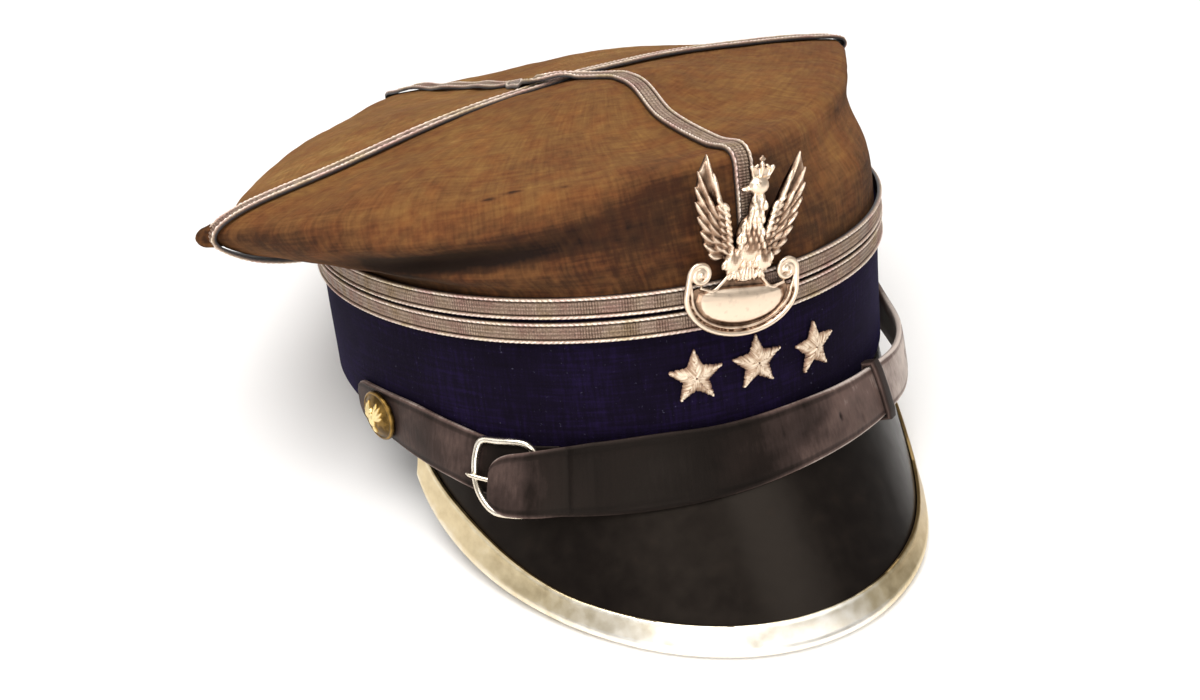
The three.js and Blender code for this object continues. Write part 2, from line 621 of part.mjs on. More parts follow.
// The border runs out of one scroll, under the shield and into the other.
function borderWire() {
  const scroll = (side) => steps(8).map((share) => {
    const angle = radians(180 - 360 * SCROLL.turns * share)
    const radius = lerp(SCROLL.outer, SCROLL.inner, share)
    const x = SCROLL.x - radius * Math.cos(angle)
    return new THREE.Vector3(side * x, SCROLL.y + radius * Math.sin(angle), SHIELD.borderHeight)
  })
  const lower = shieldOutline().slice(0, 13).map(([x, y]) => new THREE.Vector3(x, y, SHIELD.borderHeight))
  return wire([...scroll(-1).reverse(), ...lower, ...scroll(1)], () => SHIELD.border, 4, false)
}

function badgeGeometry() {
  const pieces = [
    borderWire(),
    plate(shieldOutline(), PLATE_THICK),
    new THREE.ConeGeometry(0.9, 3.8, 4).rotateZ(Math.PI / 2).translate(-2.4, 30.4, 2),
    new THREE.CylinderGeometry(3.4, 2.4, 2.8, 6).scale(1, 1, 0.5).translate(CROWN_X, 34.2, 2),
    new THREE.BoxGeometry(0.9, 4, 0.9).translate(CROWN_X, 37.2, 2),
    new THREE.BoxGeometry(2.4, 0.9, 0.8).translate(CROWN_X, 38, 2),
  ]
  for (const { at, size } of BODY) pieces.push(blob(at, size))
  for (const side of [-1, 1]) {
    pieces.push(blob([side * SCROLL.x, SCROLL.y, PLATE_THICK], [2, 2, 1]))
    pieces.push(plate(WING_PLATE.map(([x, y]) => [side * x, y]), PLATE_THICK))
    for (const blade of FEATHERS) pieces.push(feather(blade, side))
  }
  const solid = pieces.map(closedSolid).reduce((whole, piece) => whole.add(piece)).simplify(0.04)
  const { vertProperties, triVerts } = solid.getMesh()
  const geometry = new THREE.BufferGeometry()
  geometry.setAttribute('position', new THREE.Float32BufferAttribute(vertProperties, 3))
  geometry.setIndex(Array.from(triVerts))
  return geometry
}

const badgeSeat = new THREE.Group()
badgeSeat.position.set(BADGE.x, -BADGE.back, BADGE.z)
badgeSeat.rotation.x = Math.PI / 2
cap.add(badgeSeat)
addPart('badge', badgeGeometry(), 'castSilver', badgeSeat).rotation.z = radians(BADGE.turn)

// The cap leans back about the band's lowest point behind until the lowest
// points of the rim meet the table, and the origin goes under its middle.
const rimPoints = rimOuter.flat()
const lean = Math.max(...rimPoints.map((p) => Math.atan2(-p.z, BAND.halfDepth - p.y)))
cap.rotation.x = -lean
cap.updateMatrixWorld(true)
const bounds = new THREE.Box3().setFromObject(cap, true)
const middle = bounds.getCenter(new THREE.Vector3())
cap.position.set(-middle.x, -middle.y, -bounds.min.z)

export default cap
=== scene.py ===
# %% [markdown]
# # A four-cornered military cap
#
# This lesson dresses a soft, four-cornered cap: a wool crown over a navy band,
# woven silver lace, a cast eagle badge, embroidered stars, a leather chin strap
# and a patent leather peak with a brass rim. The construction comes packed, as
# a fixed frame, and every piece here sits where the frame says. The first cell
# loads that frame.

# %% Load the frame
import math

import bpy
import numpy as np
from mathutils import Matrix, Vector, noise


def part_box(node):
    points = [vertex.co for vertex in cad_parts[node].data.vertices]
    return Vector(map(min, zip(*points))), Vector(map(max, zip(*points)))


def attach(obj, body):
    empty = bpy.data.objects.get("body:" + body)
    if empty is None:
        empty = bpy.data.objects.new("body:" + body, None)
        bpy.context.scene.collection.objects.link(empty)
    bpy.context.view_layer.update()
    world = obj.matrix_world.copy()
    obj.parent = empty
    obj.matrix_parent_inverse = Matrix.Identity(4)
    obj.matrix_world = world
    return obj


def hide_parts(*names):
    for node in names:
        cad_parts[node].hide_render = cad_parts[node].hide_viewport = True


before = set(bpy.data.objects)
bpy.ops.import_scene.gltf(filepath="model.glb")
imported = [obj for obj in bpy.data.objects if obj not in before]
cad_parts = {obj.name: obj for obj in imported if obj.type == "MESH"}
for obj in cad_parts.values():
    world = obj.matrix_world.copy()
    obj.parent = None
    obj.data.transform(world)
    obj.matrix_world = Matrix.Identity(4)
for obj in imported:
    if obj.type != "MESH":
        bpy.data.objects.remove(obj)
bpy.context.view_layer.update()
print("nodes in the frame:", len(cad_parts))

# %% [markdown]
# The cap leans back on its band and on the rim of its peak. It is much easier
# to draw it upright, in millimetres, with the band's lower edge at height 0,
# its front towards -Y and the wearer's left at +X. One matrix then leans the
# drawing back and puts it in the frame. The lean and the place are worked out
# from the box of the band, so they can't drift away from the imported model.

# %% From the upright drawing to the frame
MM = 0.001
BAND = {"half_width": 89.0, "half_depth": 103.0, "height": 46.0, "wall": 2.6}

band_low, band_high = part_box("band")
band_rise = (band_high.z - band_low.z) / MM
band_reach = math.hypot(2 * BAND["half_depth"], BAND["height"])
lean = math.asin(band_rise / band_reach) - math.atan2(BAND["height"], 2 * BAND["half_depth"])
seat = Vector((
    (band_low.x + band_high.x) / 2,
    band_low.y + BAND["half_depth"] * MM * math.cos(lean),
    band_low.z + BAND["half_depth"] * MM * math.sin(lean),
))
TO_FRAME = Matrix.Translation(seat) @ Matrix.Rotation(-lean, 4, "X") @ Matrix.Scale(MM, 4)
TO_FRAME_ARRAY = np.array(TO_FRAME)
print(f"lean {math.degrees(lean):.2f} degrees, seat {tuple(round(v, 4) for v in seat)}")


def to_frame(points):
    """Upright millimetres to metres in the frame."""
    points = np.asarray(points, float).reshape(-1, 3)
    return points @ TO_FRAME_ARRAY[:3, :3].T + TO_FRAME_ARRAY[:3, 3]


# %% [markdown]
# Almost every part of a cap is a section carried along a path: lace, straps,
# wire, the rim and even a panel of cloth, whose section is its outer face and
# then its inner face. So one helper joins rings of points into a closed body.
# It measures the body's volume and turns it right side out, and it stores
# whatever numbers the finish needs, such as how deep a point lies in a weave.

# %% Rings of points to a closed piece
def ring_faces(count, sides, closed):
    """Quads between rings of points, with an end cap on each open end."""
    rows = np.arange(count if closed else count - 1)[:, None]
    columns = np.arange(sides)[None, :]
    here = rows * sides + columns
    beside = rows * sides + (columns + 1) % sides
    after = (rows + 1) % count * sides
    quads = np.stack([here, beside, after + (columns + 1) % sides, after + columns], -1)
    faces = quads.reshape(-1, 4).tolist()
    if not closed:
        faces.append(list(range(sides))[::-1])
        faces.append([(count - 1) * sides + k for k in range(sides)])
    return faces


def volume_of(points, faces):
    """Signed volume of quads, enough to tell inside out."""
    quads = np.array([f for f in faces if len(f) == 4])
    a, b, c, d = (points[quads[:, k]] for k in range(4))
    parts = np.einsum("ij,ij->i", a, np.cross(b, c)) + np.einsum("ij,ij->i", a, np.cross(c, d))
    return float(parts.sum() / 6)


def make_piece(name, points, faces, material, nodes=(), values=None, crease=45):
    """A mesh from upright millimetres that rides with the cap and stands for nodes."""
    mesh = bpy.data.meshes.new(name)
    mesh.from_pydata(to_frame(points).tolist(), [], faces)
    for label, data in (values or {}).items():
        data = np.asarray(data, np.float32)
        vector = data.ndim > 1 and data.shape[-1] == 3
        layer = mesh.attributes.new(label, "FLOAT_VECTOR" if vector else "FLOAT", "POINT")
        layer.data.foreach_set("vector" if vector else "value", data.ravel())
    mesh.shade_smooth()
    mesh.set_sharp_from_angle(angle=math.radians(crease))
    mesh.materials.append(material)
    piece = bpy.data.objects.new(name, mesh)
    bpy.context.scene.collection.objects.link(piece)
    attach(piece, "root")
    if nodes:
        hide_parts(*nodes)
    print(f"{name}: {len(points)} points, {len(faces)} faces")
    return piece


def swept_piece(name, rings, material, nodes=(), closed=False, values=None, crease=45):
    """A piece from an array of rings, count x sides x 3."""
    rings = np.asarray(rings, float)
    count, sides = rings.shape[:2]
    points = rings.reshape(-1, 3)
    faces = ring_faces(count, sides, closed)
    if volume_of(points, faces) < 0:
        faces = [face[::-1] for face in faces]
    flat = {}
    for label, data in (values or {}).items():
        data = np.asarray(data, float)
        flat[label] = data.reshape(-1, 3) if data.ndim == 3 else data.reshape(-1)
    return make_piece(name, points, faces, material, nodes, flat, crease)


print("three rings of four points make", len(ring_faces(3, 4, False)), "faces with their end caps")

# %% [markdown]
# Every material is a small tree of nodes. One function adds a node, sets what
# it is given and links whatever is itself a node. A second one turns the hex
# colours that paint and dye charts use into the linear numbers that a renderer
# needs. A pattern that fills space follows the object's own coordinates, which
# are in metres, so one of 5 mm has a scale of 1000 / 5. A pattern that follows
# the threads reads the cloth coordinates that a piece stores, in millimetres.

# %% Colour and node helpers
PER_METRE = 1000.0


def hex_colour(code):
    """An sRGB hex code such as 7a5534 as linear red, green, blue and alpha."""
    parts = [int(code[k:k + 2], 16) / 255 for k in (0, 2, 4)]
    return tuple(c / 12.92 if c <= 0.04045 else ((c + 0.055) / 1.055) ** 2.4 for c in parts) + (1.0,)


def add(tree, kind, settings=None, ramp=None, **sockets):
    """Add a node. An input is named by its identifier, with _ for a space.

    A node given for an input stands for its first output that is in use.
    """
    made = tree.nodes.new("ShaderNode" + kind)
    for key, value in (settings or {}).items():
        setattr(made, key, value)
    if ramp:
        stops = made.color_ramp.elements
        while len(stops) < len(ramp):
            stops.new(0.5)
        for stop, (place, code) in zip(stops, ramp):
            stop.position = place
            stop.color = hex_colour(code)
    inputs = {socket.identifier.replace(" ", "_"): socket for socket in made.inputs}
    for key, value in sockets.items():
        if isinstance(value, bpy.types.Node):
            value = next(socket for socket in value.outputs if socket.enabled)
        if isinstance(value, bpy.types.NodeSocket):
            tree.links.new(value, inputs[key])
        else:
            inputs[key].default_value = value
    return made


def start_material(name):
    """An empty material and its tree."""
    material = bpy.data.materials.new(name)
    material.use_nodes = True
    material.node_tree.nodes.clear()
    return material, material.node_tree


print("khaki 7a5534 in linear light:", [round(part, 3) for part in hex_colour("7a5534")[:3]])

# %% [markdown]
# The crown is napped wool cloth, once khaki, now brown and faded to gold where
# light fell on it, and its tone adds painted light on the tops of the panels as
# well. Its finest threads, five or six to the millimetre, are too small to see
# one by one and only soften the surface. Threads of uneven thickness give the
# faint streaks both ways that the eye reads as the weave.
# They are drawn 1.3 mm wide and 16 mm long, coarser than real ones, so that
# they show. The panel stores where each point lies in the cloth, so that the
# streaks run with the panel and not with the world. Old dye has gone reddish
# in patches of about 7 mm.

# %% Khaki wool cloth
STREAK_WIDE, STREAK_LONG = 1.3, 16.0
THREAD_MM = 0.17671
WAVE_LENGTH = 2 * math.pi / 20  # how far a wave texture of scale 1 goes before it repeats


def wool_colour(tree, cloth, place, tone):
    """Streaks, patches and mottling add up to a level, and a ramp of dyed wool colours it."""
    along = add(tree, "Mapping", Vector=cloth, Scale=(1 / STREAK_WIDE, 1 / STREAK_LONG, 1))
    across = add(tree, "Mapping", Vector=cloth, Scale=(1 / STREAK_LONG, 1 / STREAK_WIDE, 1))
    warp = add(tree, "TexNoise", Vector=along, Scale=1.0, Detail=3.0)
    weft = add(tree, "TexNoise", Vector=across, Scale=1.0, Detail=3.0)
    patches = add(tree, "TexNoise", Vector=place, Scale=PER_METRE / 26, Detail=4.0)
    mottle = add(tree, "TexNoise", Vector=place, Scale=PER_METRE / 3.2, Detail=4.0)
    level = -0.27
    for pattern, weight in ((warp, 0.3), (weft, 0.3), (patches, 0.4), (mottle, 0.35)):
        level = add(tree, "Math", {"operation": "MULTIPLY_ADD"},
                    Value=pattern, Value_001=weight, Value_002=level)
    level = add(tree, "Math", {"operation": "ADD", "use_clamp": True}, Value=level, Value_001=tone)
    shade = add(tree, "ValToRGB", Fac=level, ramp=[
        (0.0, "180b06"), (0.25, "3d2412"), (0.48, "694323"), (0.7, "845d30"), (1.0, "ae8b50")])
    dyed = add(tree, "TexNoise", Vector=place, Scale=PER_METRE / 7, Detail=5.0)
    reddish = add(tree, "MapRange", Value=dyed, From_Min=0.42, From_Max=0.62, To_Min=0.0, To_Max=0.32)
    return add(tree, "Mix", {"data_type": "RGBA", "blend_type": "MULTIPLY"}, Factor_Float=reddish,
               A_Color=shade, B_Color=hex_colour("f8b8b0"))


def wool_cloth():
    material, tree = start_material("khaki_wool_cloth")
    cloth = add(tree, "Attribute", {"attribute_name": "cloth"}).outputs["Vector"]
    tone = add(tree, "Attribute", {"attribute_name": "tone"}).outputs["Fac"]
    place = add(tree, "TexCoord").outputs["Object"]
    threads = {}
    for direction in "XY":
        wave = add(tree, "TexWave", {"bands_direction": direction}, Vector=cloth,
                   Scale=WAVE_LENGTH / THREAD_MM, Distortion=0.6)
        threads[direction] = wave.outputs["Fac"]
    crossed = add(tree, "Math", {"operation": "MULTIPLY"}, Value=threads["X"], Value_001=threads["Y"])
    nap = add(tree, "TexNoise", Vector=place, Scale=PER_METRE / 0.7, Detail=4.0)
    weave = add(tree, "Math", {"operation": "MULTIPLY_ADD"}, Value=nap, Value_001=1.4, Value_002=crossed)
    shaded = add(tree, "Mix", {"data_type": "RGBA", "blend_type": "MULTIPLY"}, Factor_Float=0.2,
                 A_Color=wool_colour(tree, cloth, place, tone), B_Color=weave)
    bump = add(tree, "Bump", Strength=0.5, Distance=0.0003, Height=weave)
    surface = add(tree, "BsdfPrincipled", Base_Color=shaded, Roughness=0.92, Normal=bump,
                  Sheen_Weight=0.08, Sheen_Roughness=0.5, Sheen_Tint=hex_colour("c99a5c"),
                  Specular_IOR_Level=0.2)
    add(tree, "OutputMaterial", Surface=surface)
    print(material.name, "has", len(tree.nodes), "nodes")
    return material


WOOL = wool_cloth()

# %% [markdown]
# The band is a close navy cloth with a violet cast where the nap catches the
# light, and it has picked up a little lint. It is drawn like the wool, darker
# and smoother, with the lint as rare pale specks about a millimetre across. A
# little sheen gives the violet edge that a nap has when it is seen at a slant.

# %% Navy cloth
def navy_cloth():
    material, tree = start_material("navy_wool_cloth")
    cloth = add(tree, "Attribute", {"attribute_name": "cloth"}).outputs["Vector"]
    place = add(tree, "TexCoord").outputs["Object"]
    along = add(tree, "Mapping", Vector=cloth, Scale=(1 / 1.1, 1 / 9, 1))
    across = add(tree, "Mapping", Vector=cloth, Scale=(1 / 14, 1 / 1.1, 1))
    warp = add(tree, "TexNoise", Vector=along, Scale=1.0, Detail=3.0)
    weft = add(tree, "TexNoise", Vector=across, Scale=1.0, Detail=3.0)
    patches = add(tree, "TexNoise", Vector=place, Scale=PER_METRE / 30, Detail=3.0)
    level = 0.0
    for pattern in (warp, weft, patches):
        level = add(tree, "Math", {"operation": "MULTIPLY_ADD"},
                    Value=pattern, Value_001=0.4, Value_002=level)
    dyed = add(tree, "ValToRGB", Fac=level, ramp=[(0.35, "06020a"), (0.6, "0d0618"), (0.85, "1b1032")])
    lint = add(tree, "TexNoise", Vector=place, Scale=PER_METRE / 0.9, Detail=2.0)
    specks = add(tree, "MapRange", Value=lint, From_Min=0.7, From_Max=0.8, To_Min=0.0, To_Max=0.3)
    spotted = add(tree, "Mix", {"data_type": "RGBA"}, Factor_Float=specks,
                  A_Color=dyed, B_Color=hex_colour("6a6880"))
    fibres = add(tree, "Mapping", Vector=cloth, Scale=(1 / 0.5, 1 / 0.5, 1))
    nap = add(tree, "TexNoise", Vector=fibres, Scale=1.0, Detail=4.0)
    bump = add(tree, "Bump", Strength=0.5, Distance=0.0003, Height=nap)
    surface = add(tree, "BsdfPrincipled", Base_Color=spotted, Roughness=0.9, Normal=bump,
                  Sheen_Weight=0.07, Sheen_Roughness=0.35, Sheen_Tint=hex_colour("4e36a4"),
                  Specular_IOR_Level=0.08)
    add(tree, "OutputMaterial", Surface=surface)
    print(material.name, "has", len(tree.nodes), "nodes")
    return material


NAVY = navy_cloth()

# %% [markdown]
# Silver lace is flat metal wire wound on silk and woven into a ribbon. Its
# threads are bright on top, and age turns it pinkish grey with yellow patches.
# The gaps between the threads, the outer sides of the cords and the ribbon's
# underside are coloured dark by their depth in the weave: partly tarnish,
# partly painted shade. The weave itself is modelled, so the material only
# needs each point's depth in the weave, which the piece stores.
# Silk and thin wire together are only partly metallic.

# %% Tarnished silver lace
def silver_lace():
    material, tree = start_material("tarnished_silver_lace")
    depth = add(tree, "Attribute", {"attribute_name": "relief"}).outputs["Fac"]
    place = add(tree, "TexCoord").outputs["Object"]
    age = add(tree, "TexNoise", Vector=place, Scale=PER_METRE / 9, Detail=3.0)
    grit = add(tree, "TexNoise", Vector=place, Scale=PER_METRE / 0.5, Detail=3.0)
    level = -0.25
    for pattern, weight in ((depth, 1.0), (grit, 0.5)):
        level = add(tree, "Math", {"operation": "MULTIPLY_ADD"},
                    Value=pattern, Value_001=weight, Value_002=level)
    # the deepest points turn near black: painted shade in the gaps and under the ribbon, over tarnish
    thread = add(tree, "ValToRGB", Fac=level, ramp=[
        (0.06, "181214"), (0.28, "4c4039"), (0.5, "7c6858"), (0.75, "c0ae9f"), (0.92, "f6ede4")])
    tint = add(tree, "ValToRGB", Fac=age, ramp=[
        (0.32, "dfb9b8"), (0.45, "ead9d2"), (0.55, "faf3ea"), (0.68, "dccfaa")])
    colour = add(tree, "Mix", {"data_type": "RGBA", "blend_type": "MULTIPLY"}, Factor_Float=0.8,
                 A_Color=thread, B_Color=tint)
    bump = add(tree, "Bump", Strength=0.4, Distance=0.0002, Height=grit)
    surface = add(tree, "BsdfPrincipled", Base_Color=colour, Metallic=0.2, Roughness=0.45,
                  Normal=bump, Specular_IOR_Level=0.5)
    add(tree, "OutputMaterial", Surface=surface)
    print(material.name, "has", len(tree.nodes), "nodes")
    return material


LACE = silver_lace()

# %% [markdown]
# Patent leather is leather under many coats of varnish: nearly black, with a
# skin that mirrors lights softly and shows every ripple of the leather under
# it. A thin clear coat over a dark base does that, with slow ripples 17 mm
# across and faint rubbed patches of 5 mm where the varnish has dulled. The
# varnish has yellowed, so its highlights are warm.

# %% Black patent leather
def patent_leather():
    material, tree = start_material("black_patent_leather")
    place = add(tree, "TexCoord").outputs["Object"]
    ripples = add(tree, "TexNoise", Vector=place, Scale=PER_METRE / 17, Detail=2.0)
    rubbed = add(tree, "TexNoise", Vector=place, Scale=PER_METRE / 5, Detail=6.0)
    base = add(tree, "ValToRGB", Fac=rubbed, ramp=[(0.35, "050304"), (0.6, "0a0707"), (0.8, "120c0a")])
    dull = add(tree, "MapRange", Value=rubbed, From_Min=0.3, From_Max=0.7, To_Min=0.28, To_Max=0.35)
    fine = add(tree, "Bump", Strength=0.15, Distance=0.00006, Height=rubbed)
    bump = add(tree, "Bump", Strength=0.5, Distance=0.0006, Height=ripples, Normal=fine)
    surface = add(tree, "BsdfPrincipled", Base_Color=base, Roughness=dull, Normal=bump, IOR=1.5,
                  Specular_IOR_Level=0.21, Specular_Tint=hex_colour("ffe6cc"),
                  Coat_Weight=0.05, Coat_Roughness=0.22, Coat_Normal=bump)
    add(tree, "OutputMaterial", Surface=surface)
    print(material.name, "has", len(tree.nodes), "nodes")
    return material


PATENT = patent_leather()

# %% [markdown]
# The chin strap is bridle leather, cut, edged and waxed, now grey-brown and
# paler on its high places: partly rubbed, partly painted light. Leather grain is
# about half a millimetre across, drawn at 0.7 mm. The piece stores a tone, with
# paler wear at the cut edge and painted light and shade along the strap, and
# where it lies along the strap, so that creases run across it.

# %% Worn strap leather
def strap_leather():
    material, tree = start_material("worn_bridle_leather")
    along = add(tree, "Attribute", {"attribute_name": "cloth"}).outputs["Vector"]
    leather_tone = add(tree, "Attribute", {"attribute_name": "tone"}).outputs["Fac"]
    place = add(tree, "TexCoord").outputs["Object"]
    blotch = add(tree, "TexNoise", Vector=place, Scale=PER_METRE / 14, Detail=5.0)
    fibres = add(tree, "Mapping", Vector=along, Scale=(1 / 1.2, 1 / 4, 1))
    fine = add(tree, "TexNoise", Vector=fibres, Scale=1.0, Detail=4.0)
    level = 0.16
    for pattern, weight in ((blotch, 0.42), (fine, 0.18)):
        level = add(tree, "Math", {"operation": "MULTIPLY_ADD"},
                    Value=pattern, Value_001=weight, Value_002=level)
    # the tone adds painted light and shade to the leather's wear
    wear_and_painted_light = add(tree, "Math", {"operation": "ADD", "use_clamp": True}, Value=level, Value_001=leather_tone)
    colour = add(tree, "ValToRGB", Fac=wear_and_painted_light, ramp=[
        (0.15, "060404"), (0.38, "17110f"), (0.55, "342926"), (0.75, "5e4c46"), (1.0, "c9bab0")])
    grain = add(tree, "TexVoronoi", {"feature": "DISTANCE_TO_EDGE"}, Vector=place, Scale=PER_METRE / 0.7)
    bends = add(tree, "Mapping", Vector=along, Scale=(1 / 1.6, 1 / 14, 1))
    creases = add(tree, "TexNoise", Vector=bends, Scale=1.0, Detail=3.0)
    small = add(tree, "Bump", Strength=0.25, Distance=0.00012, Height=grain)
    bump = add(tree, "Bump", Strength=0.25, Distance=0.0003, Height=creases, Normal=small)
    rough = add(tree, "MapRange", Value=level, From_Min=0.34, From_Max=0.58, To_Min=0.4, To_Max=0.58)
    surface = add(tree, "BsdfPrincipled", Base_Color=colour, Roughness=rough, Normal=bump, IOR=1.5,
                  Specular_IOR_Level=0.13, Specular_Tint=hex_colour("ffe8d6"))
    add(tree, "OutputMaterial", Surface=surface)
    print(material.name, "has", len(tree.nodes), "nodes")
    return material


LEATHER = strap_leather()

# %% [markdown]
# Four metals: rolled brass for the rim, stamped gilt brass for the buttons,
# nickel plate for the buckle and cast silvered metal for the badge. Each is
# fully metallic, so its colour is the colour of its reflections. Use wears the
# high places bright and leaves tarnish in the hollows, so each metal mixes a
# clean and a tarnished colour by the relief that the piece stores, with stains
# of a few millimetres over both.

# %% Metals
def worn_metal(name, colours, roughness, stain_mm, dark_patches=0.9):
    """colours run from tarnished over clean to polished, roughness from bare metal to its stains."""
    material, tree = start_material(name)
    depth = add(tree, "Attribute", {"attribute_name": "relief"}).outputs["Fac"]
    place = add(tree, "TexCoord").outputs["Object"]
    stain = add(tree, "TexNoise", Vector=place, Scale=PER_METRE / stain_mm, Detail=5.0)
    marks = add(tree, "TexNoise", Vector=place, Scale=PER_METRE / 0.5, Detail=3.0)
    level = -0.5 * dark_patches
    for pattern, weight in ((depth, 1.0), (stain, dark_patches)):
        level = add(tree, "Math", {"operation": "MULTIPLY_ADD"},
                    Value=pattern, Value_001=weight, Value_002=level)
    colour = add(tree, "ValToRGB", Fac=level, ramp=list(zip((0.1, 0.5, 0.9), colours)))
    rough = add(tree, "MapRange", Value=stain, From_Min=0.3, From_Max=0.7,
                To_Min=roughness[0], To_Max=roughness[1])
    bump = add(tree, "Bump", Strength=0.25, Distance=0.00005, Height=marks)
    surface = add(tree, "BsdfPrincipled", Base_Color=colour, Metallic=1.0, Roughness=rough, Normal=bump)
    add(tree, "OutputMaterial", Surface=surface)
    print(material.name, "has", len(tree.nodes), "nodes")
    return material


RIM_BRASS = worn_metal("rolled_brass", ("987e52", "dccba6", "fffaf0"), (0.3, 0.42), 4, 0.45)
GILT = worn_metal("gilt_brass", ("54401f", "b8924e", "f2dda4"), (0.28, 0.45), 2.5, 0.6)
NICKEL = worn_metal("nickel_plate", ("8a775c", "e2d6c2", "fff9ee"), (0.18, 0.32), 5)
SILVER = worn_metal("cast_silvered_metal", ("21140e", "9c7d66", "f2dcc4"), (0.28, 0.42), 2.5, 0.7)

# %% [markdown]
# The stars are silver purl: hollow coils of fine wire, cut and sewn down side
# by side over a raised core. They are paler than the lace and catch the light
# thread by thread. The threads are modelled, so the material stays simple.

# %% Silver embroidery
def embroidery_thread():
    material, tree = start_material("silver_purl")
    depth = add(tree, "Attribute", {"attribute_name": "relief"}).outputs["Fac"]
    place = add(tree, "TexCoord").outputs["Object"]
    age = add(tree, "TexNoise", Vector=place, Scale=PER_METRE / 2.2, Detail=3.0)
    level = -0.45
    for pattern, weight in ((depth, 1.0), (age, 0.9)):
        level = add(tree, "Math", {"operation": "MULTIPLY_ADD"},
                    Value=pattern, Value_001=weight, Value_002=level)
    colour = add(tree, "ValToRGB", Fac=level, ramp=[
        (0.1, "452f26"), (0.36, "906f5b"), (0.6, "b4977c"), (0.9, "e6d3bc")])
    surface = add(tree, "BsdfPrincipled", Base_Color=colour, Metallic=0.2, Roughness=0.5)
    add(tree, "OutputMaterial", Surface=surface)
    print(material.name, "has", len(tree.nodes), "nodes")
    return material


PURL = embroidery_thread()

# %% [markdown]
# The band follows an oval. Angles run round it from the front towards the
# wearer's left, and a point is named by its angle, how far it stands out from
# the oval and its height. Smooth curves through a short table of points, the
# same kind that the construction uses, shape the seams and the straps.

# %% The oval and smooth curves
def oval_normal(angle):
    """The outward direction of the band at an angle."""
    a = np.radians(np.asarray(angle, float))
    n = np.stack([np.sin(a) / BAND["half_width"], -np.cos(a) / BAND["half_depth"], np.zeros_like(a)], -1)
    return n / np.linalg.norm(n, axis=-1, keepdims=True)


def oval_point(angle, out, height):
    """A point out from the band's oval, at a height above its lower edge."""
    angle, out, height = np.broadcast_arrays(np.asarray(angle, float), out, height)
    a = np.radians(angle)
    base = np.stack([BAND["half_width"] * np.sin(a), -BAND["half_depth"] * np.cos(a), height], -1)
    return base + oval_normal(angle) * out[..., None]


def smooth_curve(rows, share):
    """A Catmull-Rom curve through rows, read at shares from 0 to 1."""
    rows = np.asarray(rows, float)
    last = len(rows) - 1
    ends = np.vstack([2 * rows[0] - rows[1], rows, 2 * rows[-1] - rows[-2]])
    place = np.clip(np.asarray(share, float), 0, 1) * last
    k = np.minimum(place.astype(int), last - 1)
    t = (place - k)[..., None]
    p0, p1, p2, p3 = ends[k], ends[k + 1], ends[k + 2], ends[k + 3]
    t0, t1 = (p2 - p0) / 2, (p3 - p1) / 2
    return (2 * p1 - 2 * p2 + t0 + t1) * t**3 + (3 * p2 - 3 * p1 - 2 * t0 - t1) * t**2 + t0 * t + p1


def unit(vectors):
    """Vectors cut or stretched to length 1."""
    return vectors / np.maximum(np.linalg.norm(vectors, axis=-1, keepdims=True), 1e-9)


def smoothstep(low, high, value):
    """0 before low, 1 past high and a soft slope between, or the other way if low is the larger."""
    t = np.clip((np.asarray(value, float) - low) / (high - low), 0, 1)
    return t * t * (3 - 2 * t)


def soft_noise(points, size, seed):
    """Smooth noise at points in millimetres, with bumps about size across."""
    flat = np.asarray(points, float).reshape(-1, 3) / size + seed
    values = np.fromiter((noise.noise(p) for p in flat.tolist()), float, len(flat))
    return values.reshape(np.shape(points)[:-1])


print("oval half way round:", np.round(oval_point(90, 0, 0), 1))

# %% [markdown]
# The band is a strip of navy cloth over a stiffener. Its section has softly
# rounded edges, and the cloth sags from the stiffener by a third of a
# millimetre here and there. The cloth's own coordinates, in millimetres round
# and up the band, go with it for the weave. A box or a plain tube would be
# quicker, but its hard edges catch the light as no cloth does.

# %% Navy band
BAND_STATIONS = 360
BAND_EDGE = 0.9
BAND_SAG = 0.35


def band_section():
    """Rows of outward offset and height, down the outside and up the inside."""
    top, wall = BAND["height"], BAND["wall"]
    outside = [(0.0, z) for z in np.linspace(top - BAND_EDGE, BAND_EDGE, 14)]
    inside = [(-wall, z) for z in np.linspace(BAND_EDGE, top - BAND_EDGE, 5)]
    under = [(-BAND_EDGE * 0.35, 0.2), (-BAND_EDGE, 0.0), (-wall + BAND_EDGE, 0.0), (-wall + 0.3, 0.2)]
    over = [(-wall + BAND_EDGE, top), (-BAND_EDGE, top)]
    return np.array(outside + under + inside + over)


def build_band():
    angles = np.linspace(0, 360, BAND_STATIONS, endpoint=False)
    section = band_section()
    rings = oval_point(angles[:, None], section[None, :, 0], section[None, :, 1])
    sag = soft_noise(rings, 28, 3.1) * BAND_SAG * (section[None, :, 0] > -BAND_EDGE)
    rings = rings + oval_normal(angles)[:, None] * sag[..., None]
    round_mm = np.radians(angles) * (BAND["half_width"] + BAND["half_depth"]) / 2
    cloth = np.stack(np.broadcast_arrays(round_mm[:, None], section[None, :, 1], 0.0), -1)
    swept_piece("navy_band", rings, NAVY, ["band"], closed=True, values={"cloth": cloth})


build_band()

# %% [markdown]
# The crown is four wool panels. Each panel lies between two seams, and each
# seam is a curve of nine even rows: base, cuff, waist, under, corner, brow,
# slope, crest and middle. The corner row is where the crown juts out: high in
# front, and drooping far out at the back and at the wearer's right. Between
# its seams a panel keeps a share of the band's roundness, and bows further out
# and up. The back left panel is the one that stands up the most.

